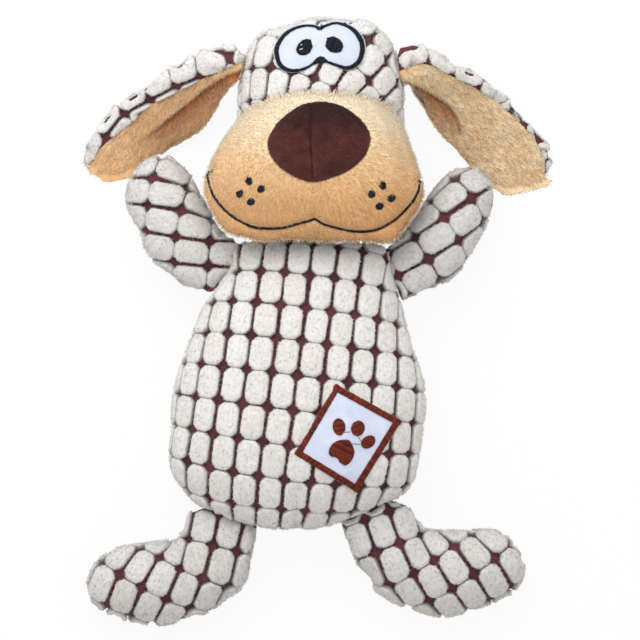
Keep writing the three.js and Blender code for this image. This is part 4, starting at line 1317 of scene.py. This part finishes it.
# Nose: a cushion of two halves
nose = {
    "height": 7.6 * mm, "rim": 0.9 * mm, "reach": 17 * mm, "lift": 0.15 * mm, "step": 1.1 * mm, "fill": 0.9,
    "seam": 1.0 * mm, "seamWidth": 1.1 * mm, "seamStarts": 8, "pileUp": (0.0, 0.3),
    "pileSeam": (0.4 * mm, 0.9 * mm), "nap": (0.0, -1.0, 0.0), "stitch": 0.65,
}
nosePile = {"fuzz": 3.0e6, "length": 0.7 * mm, "radius": 0.2 * mm, "lean": 0.3, "spread": 0.5}
noseSeamLine = traced([(311.5, 104), (310.8, 116), (310.6, 130), (311, 150), (311.8, 166), (312.2, 182)])
noseSeam = smoothLine(noseSeamLine, noseStep)


def makeNose():
    def heightOf(flat, inward):
        share = np.clip(inward / nose["reach"], 0, 1)
        dome = nose["rim"] + nose["height"] * np.sqrt(1 - (1 - share) ** 2)
        furrow = nose["seam"] * bell(beside(flat, noseSeam)[0], nose["seamWidth"])
        return dome - furrow * np.minimum(share * nose["seamStarts"], 1)

    surface = treeOf(headForm.data)
    form = sheet("nose_cushion", noseRing[:, :2], surface, nose["lift"], heightOf, nose["step"], upright=True)
    upward = smoothStep(vertexNormals(form.data)[:, 2], *nose["pileUp"])
    inSeam = np.abs(beside(coordinates(form.data), noseSeam)[0])
    napped(form.data, upward * smoothStep(inSeam, *nose["pileSeam"]), nose["nap"])
    piled("nose_pile", "head", form, finish["nose"], nosePile, seeds["nose"])
    form.data.materials.append(finish["nose"])
    nodes = ["nose_stuffing", "nose_left_panel", "nose_right_panel"]
    return entered(form, "head", nodes)


noseForm = makeNose()
print("nose made")

# Limbs
limbs = {
    "arm_right": {
        "body": "right_arm", "anchor": placed((166.9, 195.9)), "grain": -16,
        "pushes": [((128, 205), (-7, 2), 26), ((148, 254), (-6, 5), 22), ((190, 289), (0, 8), 24),
                   ((240, 243), (10, -4), 13), ((231, 264), (4, 1), 22)],
    },
    "arm_left": {
        "body": "left_arm", "anchor": placed((436.6, 239.1)), "grain": 34,
        "pushes": [((456, 276), (3, 3), 24), ((404, 298), (-3, 9), 12), ((389, 246), (-8, -3), 12),
                   ((397, 272), (-4, 1), 20)],
    },
    "leg_right": {
        "body": "right_leg", "anchor": placed((162.1, 578.3)), "grain": 62,
        "pushes": [((256, 531), (9, -2), 13), ((226, 514), (0, -4), 22), ((190, 513), (-9, -6), 15),
                   ((228, 604), (-3, -5), 18), ((160, 622), (2, 6), 24)],
    },
    "leg_left": {
        "body": "left_leg", "anchor": placed((432, 580.8)), "grain": -58.7,
        "pushes": [((344, 527), (-8, -2), 12), ((372, 512), (0, -4), 20), ((362, 580), (9, -6), 18),
                   ((416, 512), (4, -9), 15), ((500, 536), (1, -5), 18), ((444, 614), (0, 10), 28)],
    },
}
limbCloth = {"voxel": 2.8 * mm, "fill": 0.7}


def makeLimb(name, limb, seed):
    panels = [f"{name}_{part}_panel" for part in ("front", "back")]
    near = torsoNodes + headNodes + ["ear_left_tan_panel", "ear_right_tan_panel"]
    form = skinOf(f"{name}_backing", dict.fromkeys(panels, stone["plush"]), [f"{name}_stuffing"], near,
                  limbCloth["voxel"], pushes=limb["pushes"])
    for index, (part, side) in enumerate((("front", 1), ("back", -1))):
        cobbled(f"{name}_{part}_cobbles", limb["body"], form, index, limb["anchor"], limb["grain"],
                seed + index * seeds["limbBacks"], side, [panels[index]], finish["limbCobbleShaded"])
    backed(form, limb["body"], [f"{name}_stuffing"], [finish["backing"]] * 2)


for index, (name, limb) in enumerate(limbs.items()):
    makeLimb(name, limb, seeds["limbs"] + index)
print("limbs made")

# Ears: a tan cloth and a cobbled cloth sewn together flat, the cobbled one rolled over the upper rim
ears = {
    "right": {
        "body": "right_ear", "anchor": placed((160.8, 86.8)), "grain": 32.7, "upper": -1,
        "rim": [(252, 60), (239, 64), (217.5, 73.6), (198, 81), (176.4, 91.4), (151.4, 104), (133.6, 120),
                (115.7, 134), (98, 148.6), (92.5, 159), (88, 176)],
        "crease": [(240, 70), (223, 77), (205, 88), (192, 99), (180, 108), (160, 124), (144, 136), (125, 152)],
        "pushes": [((106, 168), (0, 11), 20), ((132, 172), (5, 8), 12), ((198, 126), (4, 5), 26),
                   ((150, 80), (1, 4), 30)],
    },
    "left": {
        "body": "left_ear", "anchor": placed((467, 78)), "grain": -33, "upper": 1,
        "rim": [(392, 69), (400, 71), (424.4, 64.4), (448.5, 74.8), (476, 88.5), (500, 104), (521, 123),
                (536.4, 140), (545, 161), (548, 180)],
        "crease": [(400, 80), (415, 85), (430, 92), (441.7, 99), (452, 108), (459, 120), (465, 136), (472, 152)],
        "pushes": [((448, 58), (-4, 12), 30), ((548, 138), (10, -2), 22), ((510, 190), (-3, 9), 24),
                   ((437, 125), (-4, 2), 28), ((414, 92), (-5, 0), 12)],
    },
}
ear = {
    "voxel": 2 * mm, "seam": (0.4 * mm, 1.5 * mm), "tanPlush": 0.5 * mm, "cobblePlush": 2.2 * mm, "fill": 0.15,
    "lineStep": 2 * mm, "hem": 1.6 * mm, "hemRun": 6 * mm,
    "step": 2.6 * mm, "recovery": 11 * mm, "stepEdge": (-0.7 * mm, 0.7 * mm),
    "shade": 10 * mm, "shadeEdge": (-0.4 * mm, 0.8 * mm),
    "front": (-0.2, 0.1), "top": (0.0, 0.4),  # between these normals a side turns into the front or the top
    "creaseEnd": (1, 0.55), "pileEdge": (0.2 * mm, -0.8 * mm),
}
earPile = {"fuzz": 1.1e6, "length": 2.4 * mm, "radius": 0.32 * mm, "lean": 2.0, "spread": 0.7}


def makeEar(side, one, seed):
    tan, cobble = (f"ear_{side}_{part}_panel" for part in ("tan", "cobbled"))
    cloths = {tan: ear["tanPlush"], cobble: ear["cobblePlush"]}
    near = headNodes + [f"arm_{side}_front_panel"]
    rim, crease = (smoothLine(traced(one[line]), ear["lineStep"]) for line in ("rim", "crease"))
    nap = (rim[-1] - rim[0]) / np.linalg.norm(rim[-1] - rim[0])

    def divided(mesh):  # the cobbled cloth is rolled over the upper rim, the tan one over the lower edge
        outside = beside(coordinates(mesh), rim)[0] * one["upper"]
        onFront = smoothStep(vertexNormals(mesh)[:, 2], *ear["front"])
        rolled = read(mesh, "side0") - ear["hem"] * smoothStep(outside, 0, -ear["hemRun"])
        side0 = np.where(onFront > 0, np.maximum(rolled, outside), rolled)
        stored(mesh, "side0", side0)
        stored(mesh, "side1", -side0)

    def shaped(mesh):  # the crease, and the fold under it
        places = coordinates(mesh)
        away, along = beside(places, crease)
        under = -away * one["upper"]
        below = np.maximum(under, 0)
        fading = smoothStep(along, *ear["creaseEnd"]) * smoothStep(vertexNormals(mesh)[:, 2], *ear["top"])
        drop = smoothStep(under, *ear["stepEdge"]) * np.exp(-below / ear["recovery"]) * fading
        # painted shade: how much of the fold's shade colour each place gets
        stored(mesh, "fold", smoothStep(under, *ear["shadeEdge"]) * np.exp(-below / ear["shade"]) * fading)
        napped(mesh, smoothStep(read(mesh, "side0"), *ear["pileEdge"]), (*nap, 0.0))
        moved(mesh, places - np.array(up) * (drop * ear["step"])[:, None])

    form = skinOf(f"ear_{side}_cloths", cloths, [], near, ear["voxel"], stuffed=False, seam=ear["seam"],
                  pushes=one["pushes"], divided=divided, shaped=shaped)
    cobbled(f"ear_{side}_cobbles", one["body"], form, 1, one["anchor"], one["grain"], seed, nodes=[cobble])
    piled(f"ear_{side}_pile", one["body"], form, finish["ear"], earPile, seed + seeds["earPiles"])
    backed(form, one["body"], [tan], [finish["ear"], finish["backing"]])


for index, (side, one) in enumerate(ears.items()):
    makeEar(side, one, seeds["ears"] + index)
bpy.data.objects.remove(oneStone)
print("ears made")


# Felt patches and stitching
feltSheet = {"step": 1.3 * mm, "edge": 0.55, "dome": 0.45, "domeWidth": 1.2 * mm}
strands = {  # a thread's radius, how far it bows and the seed of its tone
    "eyeOutline": (0.3 * mm, 0.3 * mm, 51), "pupils": (0.3 * mm, 0.45 * mm, 52),
    "eyeEnds": (0.3 * mm, 0.8 * mm, 53), "glint": (0.3 * mm, 1.0 * mm, 54),
    "mouth": (0.32 * mm, 0.7 * mm, 55), "dots": (0.32 * mm, 0.8 * mm, 57),
    "noseSeam": (0.3 * mm, 0.45 * mm, 58), "border": (0.31 * mm, 0.5 * mm, 61),
    "toes": (0.31 * mm, 0.5 * mm, 62), "pad": (0.31 * mm, 0.6 * mm, 66), "jumps": (0.14 * mm, 0.3 * mm, 67),
}
# Seeds of the stitches' uneven ends
wavers = {"eyes": 2, "wedge": 3, "pupils": 4, "mouth": 5, "dots": 6, "border": 11, "toes": 14, "pad": 19}


def feltPiece(name, body, nodes, material, outline, surface, look):
    def heightOf(flat, inward):
        dome = feltSheet["dome"] * smoothStep(inward, 0, feltSheet["domeWidth"])
        return look["thickness"] * (feltSheet["edge"] + dome)

    made = sheet(name, outline, surface, look["lift"], heightOf, feltSheet["step"])
    made.data.materials.append(material)
    return entered(made, body, nodes)


def satin(line, seed, closed=False, slant=stitching["slant"]):  # stitches across a line of varying width
    shaky = np.random.default_rng(seed)
    ahead = np.roll(line, -1, axis=0) if closed else np.vstack([line[1:], 2 * line[-1:] - line[-2:-1]])
    behind = np.roll(line, 1, axis=0) if closed else np.vstack([2 * line[:1] - line[1:2], line[:-1]])
    way = (ahead - behind)[:, :2]
    way /= np.linalg.norm(way, axis=1)[:, None]
    across = np.column_stack([-way[:, 1], way[:, 0]])
    half = (line[:, 2] * mm / 2)[:, None]
    ends = [line[:, :2] + sign * (across * (half + shaky.uniform(-1, 1, half.shape) * stitching["waver"])
                                  + way * half * slant) for sign in (-1, 1)]
    return list(zip(*ends))


def filled(outline, angle, seed, pitch=stitching["pitch"]):  # stitches side by side that fill an outline
    shaky = np.random.default_rng(seed)
    turn = math.radians(angle)
    along = np.array((math.cos(turn), math.sin(turn)))
    across = np.array((-along[1], along[0]))
    levels = outline @ across
    stitches = []
    for level in np.arange(levels.min() + pitch / 2, levels.max(), pitch):
        crossings = []
        for first, second in zip(outline, np.roll(outline, -1, axis=0)):
            a, b = first @ across - level, second @ across - level
            if a * b < 0:
                crossings.append((first + (second - first) * a / (a - b)) @ along)
        crossings.sort()
        for low, high in zip(crossings[::2], crossings[1::2]):
            low, high = (low, high) + shaky.uniform(-1, 1, 2) * stitching["filledWaver"]
            stitches.append((along * low + across * level, along * high + across * level))
    return stitches


def stitched(name, body, nodes, stitches, surface, material, kind, shift=0):
    radius, bow, seed = strands[kind]
    points, lifts, lines = [], [], []
    for first, last in stitches:
        length = np.linalg.norm(np.subtract(last, first))
        for share in np.linspace(0, 1, 2 + int(length / stitching["reach"])):
            hit, normal = onTop(surface, first + np.subtract(last, first) * share)
            if share > 0:
                lines.append((len(points) - 1, len(points)))
            points.append(hit + normal * radius * stitching["above"])
            lifts.append(normal)
    mesh = bpy.data.meshes.new(name + "Lines")
    mesh.from_pydata(points, lines, [])
    stored(mesh, "lift", np.array(lifts))
    host = newObject(name + "Lines", mesh)
    made = run(trees["threads"], name, host, {
        "Radius": radius, "Bow": bow, "Seed": seed + shift, "Material": material,
    })
    bpy.data.objects.remove(host)
    return entered(made, body, nodes)


def ovalOutline(middle, across, down, turn, count=20):  # in the photograph's pixels
    points = []
    for index in range(count):
        angle = -2 * math.pi * index / count
        x, y = across * math.cos(angle), down * math.sin(angle)
        cos, sin = math.cos(math.radians(turn)), math.sin(math.radians(turn))
        points.append((middle[0] + x * cos - y * sin, middle[1] + x * sin + y * cos))
    return traced(points)


pupils = {
    "right": [(296.2, 50.5), (297.5, 46.8), (301.9, 42), (306.4, 40.5), (310.8, 41.2), (312.7, 48.2),
              (310, 54.2), (305.6, 56.8), (300.4, 56.8), (297.1, 54.2)],
    "left": [(325.2, 47.5), (327, 39.7), (333, 37.9), (338.9, 40.5), (342.3, 44.6), (343, 48.2), (340.4, 53.4),
             (335.2, 54.6), (330, 53.4), (326.4, 49.7)],
    "angle": 65,
}
eyeExtras = {
    "wedgeAngle": 90,
    "wedge": [(314.8, 65.4), (317.6, 61.5), (320.4, 58), (323.4, 59.8), (326.4, 63.6), (320.6, 65.2)],
    "ends": [[(319.8, 21.6), (321.4, 25.4)], [(344.4, 24.2), (347.2, 20.4)]],
    "glint": [[(299.6, 51.6), (303.4, 50.4)], [(300.8, 47.4), (303, 45.6)]],
}


def makeEyes():
    crown = nodeTree(["head_crown_panel"])
    white = feltPiece("eye_white", "head", ["eye_felt"], finish["eyeFelt"], eyeOutline, crown, eye)
    surface = treeOf(white.data)
    black = finish["blackThread"]
    wedge = filled(traced(eyeExtras["wedge"]), eyeExtras["wedgeAngle"], wavers["wedge"])
    outline = satin(faceLines["eyes"], wavers["eyes"], closed=True) + wedge
    stitched("eye_outline", "head", ["eye_outline_stitching"], outline, surface, black,
             "eyeOutline")
    for side in ("left", "right"):
        stitches = filled(traced(pupils[side]), pupils["angle"], wavers["pupils"])
        stitched(f"pupil_{side}_stitches", "head", [f"pupil_{side}"], stitches, surface,
                 black, "pupils")
    ends, glint = ([tuple(traced(pair)) for pair in eyeExtras[key]] for key in ("ends", "glint"))
    stitched("eye_thread_ends", "head", [], ends, surface, black, "eyeEnds")
    stitched("pupil_glint", "head", [], glint, surface, finish["eyeFelt"], "glint")


def makeMouth():
    surface = treeOf(headForm.data)
    black = finish["blackThread"]
    stitched("mouth_stitches", "head", ["mouth_stitching"],
             satin(faceLines["mouth"], wavers["mouth"]), surface, black, "mouth")
    for side in ("left", "right"):
        stitches = []
        for index, middle in enumerate(dots[side]):
            oval = ovalOutline(middle, *dots["size"], dots["turn"] * index, dots["points"])
            stitches += filled(oval, dots["angle"] + dots["angleStep"] * index, wavers["dots"] + index)
        nodes = [f"whisker_dot_{side}_{number}" for number in range(1, 5)]
        stitched(f"whisker_dots_{side}", "head", nodes, stitches, surface, black, "dots")


def makeNoseStitches():
    line = noseSeam[1:-1]
    stitches = [(place, place + (after - place) * nose["stitch"]) for place, after in zip(line, line[1:])]
    stitched("nose_seam_stitches", "head", [], stitches, treeOf(noseForm.data),
             finish["darkThread"], "noseSeam")


makeEyes()
makeMouth()
makeNoseStitches()
print("face made")

paw = {
    "toes": [((338.8, 426.2), 6.2, 8.3, -5), ((357.5, 427.7), 6.7, 7.7, 20), ((367.8, 441.3), 5.8, 7.6, 55)],
    "pad": [(328.6, 451.1), (330.6, 445.3), (335.9, 440.7), (342, 439.2), (348.1, 439.6), (351.2, 443),
            (353.9, 449.9), (353.1, 455.3), (350.4, 460.6), (345.9, 464.1), (342, 462.9), (339, 460.6),
            (337.1, 456.8), (332.8, 455.7), (329.4, 453.7)],
    "toeAngles": [8, 30, -20], "padAngle": -28, "padStep": 1 * mm,
    "jumps": [[(343.8, 431.6), (350.2, 431.2)], [(357, 435), (361, 441.2)], [(351.8, 443), (360.4, 443.5)]],
}


def onPatch(name, nodes, stitches, surface, kind, shift=0, material=finish["brickThread"]):
    stitched(name, "torso", nodes, stitches, surface, material, kind, shift)


def makePatch():
    corners = patchOutline
    after = np.roll(corners, -1, axis=0)
    outline = np.array([first + (second - first) * share for first, second in zip(corners, after)
                        for share in np.linspace(0, 1, patch["points"], endpoint=False)])
    white = feltPiece("patch_white", "torso", ["patch_ground"], finish["patchFelt"], outline,
                      nodeTree(["torso_front_panel"]), patch)
    surface = treeOf(white.data)
    middle = corners.mean(0)
    inset = middle + (corners - middle) * (1 - patch["border"] / patch["inset"])
    border = []
    for index, (first, second) in enumerate(zip(inset, np.roll(inset, -1, axis=0))):
        length = np.linalg.norm(second - first)
        way = (second - first) / length
        marks = np.arange(-patch["border"] / 2, length + patch["border"] / 2, stitching["pitch"])
        line = np.array([(*(first + way * mark), patch["border"] / mm) for mark in marks])
        border += satin(line, wavers["border"] + index, slant=patch["slant"])
    onPatch("patch_border", ["patch_border_stitching"], border, surface, "border")
    for number, (toe, angle) in enumerate(zip(paw["toes"], paw["toeAngles"]), 1):
        stitches = filled(ovalOutline(*toe), angle, wavers["toes"] + number)
        onPatch(f"paw_toe_{number}", [f"paw_toe_stitching_{number}"], stitches, surface, "toes", number)
    padOutline = smoothLine(traced(paw["pad"]), paw["padStep"], closed=True)
    pad = filled(padOutline, paw["padAngle"], wavers["pad"])
    onPatch("paw_pad", ["paw_pad_stitching"], pad, surface, "pad")
    jumps = [tuple(traced(pair)) for pair in paw["jumps"]]
    onPatch("paw_jump_threads", [], jumps, surface, "jumps", material=finish["darkThread"])


makePatch()
print("patch made")

# Light and ground
light = {
    "world": 0.69, "keyPower": 5.8, "keySize": 0.8, "keyPlace": (-0.18, 0.6, 0.8),
    "aim": (0, 50 * mm, 30 * mm),
}


def makeWorld():
    world = bpy.data.worlds.new("studio")
    world.use_nodes = True
    world.node_tree.nodes.clear()
    graph = Graph(world.node_tree)
    path = graph.node("ShaderNodeLightPath", out="Is Camera Ray")
    seen = path.above(path.other("Is Glossy Ray")).above(path.other("Is Transmission Ray"))
    strength = seen * (1 - light["world"]) + light["world"]
    sky = graph.node("ShaderNodeBackground", {"Color": (1, 1, 1, 1), "Strength": strength})
    graph.node("ShaderNodeOutputWorld", {"Surface": sky})
    scene.world = world


def makeKey():
    data = bpy.data.lights.new("keyPanel", "AREA")
    data.energy = light["keyPower"]
    data.size = light["keySize"]
    made = bpy.data.objects.new("keyPanel", data)
    made.location = light["keyPlace"]
    made.rotation_euler = (Vector(light["aim"]) - made.location).to_track_quat("-Z", "Y").to_euler()
    scene.collection.objects.link(made)


floor = {"size": 3.0, "colour": (0.9, 0.9, 0.9, 1), "glow": 1.0, "whiteShare": 0.92}


def makeFloor():
    work = bmesh.new()
    bmesh.ops.create_grid(work, x_segments=1, y_segments=1, size=floor["size"] / 2)
    made = bmeshObject("floor", work)
    material, graph = newMaterial("whiteFloor")
    diffuse = graph.node("ShaderNodeBsdfDiffuse", {"Color": floor["colour"]})
    glow = graph.node("ShaderNodeEmission", {"Color": (1, 1, 1, 1), "Strength": floor["glow"]})
    path = graph.node("ShaderNodeLightPath", out="Is Camera Ray")
    shader = graph.node("ShaderNodeMixShader", {0: path * floor["whiteShare"], 1: diffuse, 2: glow})
    graph.node("ShaderNodeOutputMaterial", {"Surface": shader})
    made.data.materials.append(material)


makeWorld()
makeKey()
makeFloor()
scene.view_settings.view_transform = "Standard"
print("stage made")

bpy.context.view_layer.update()
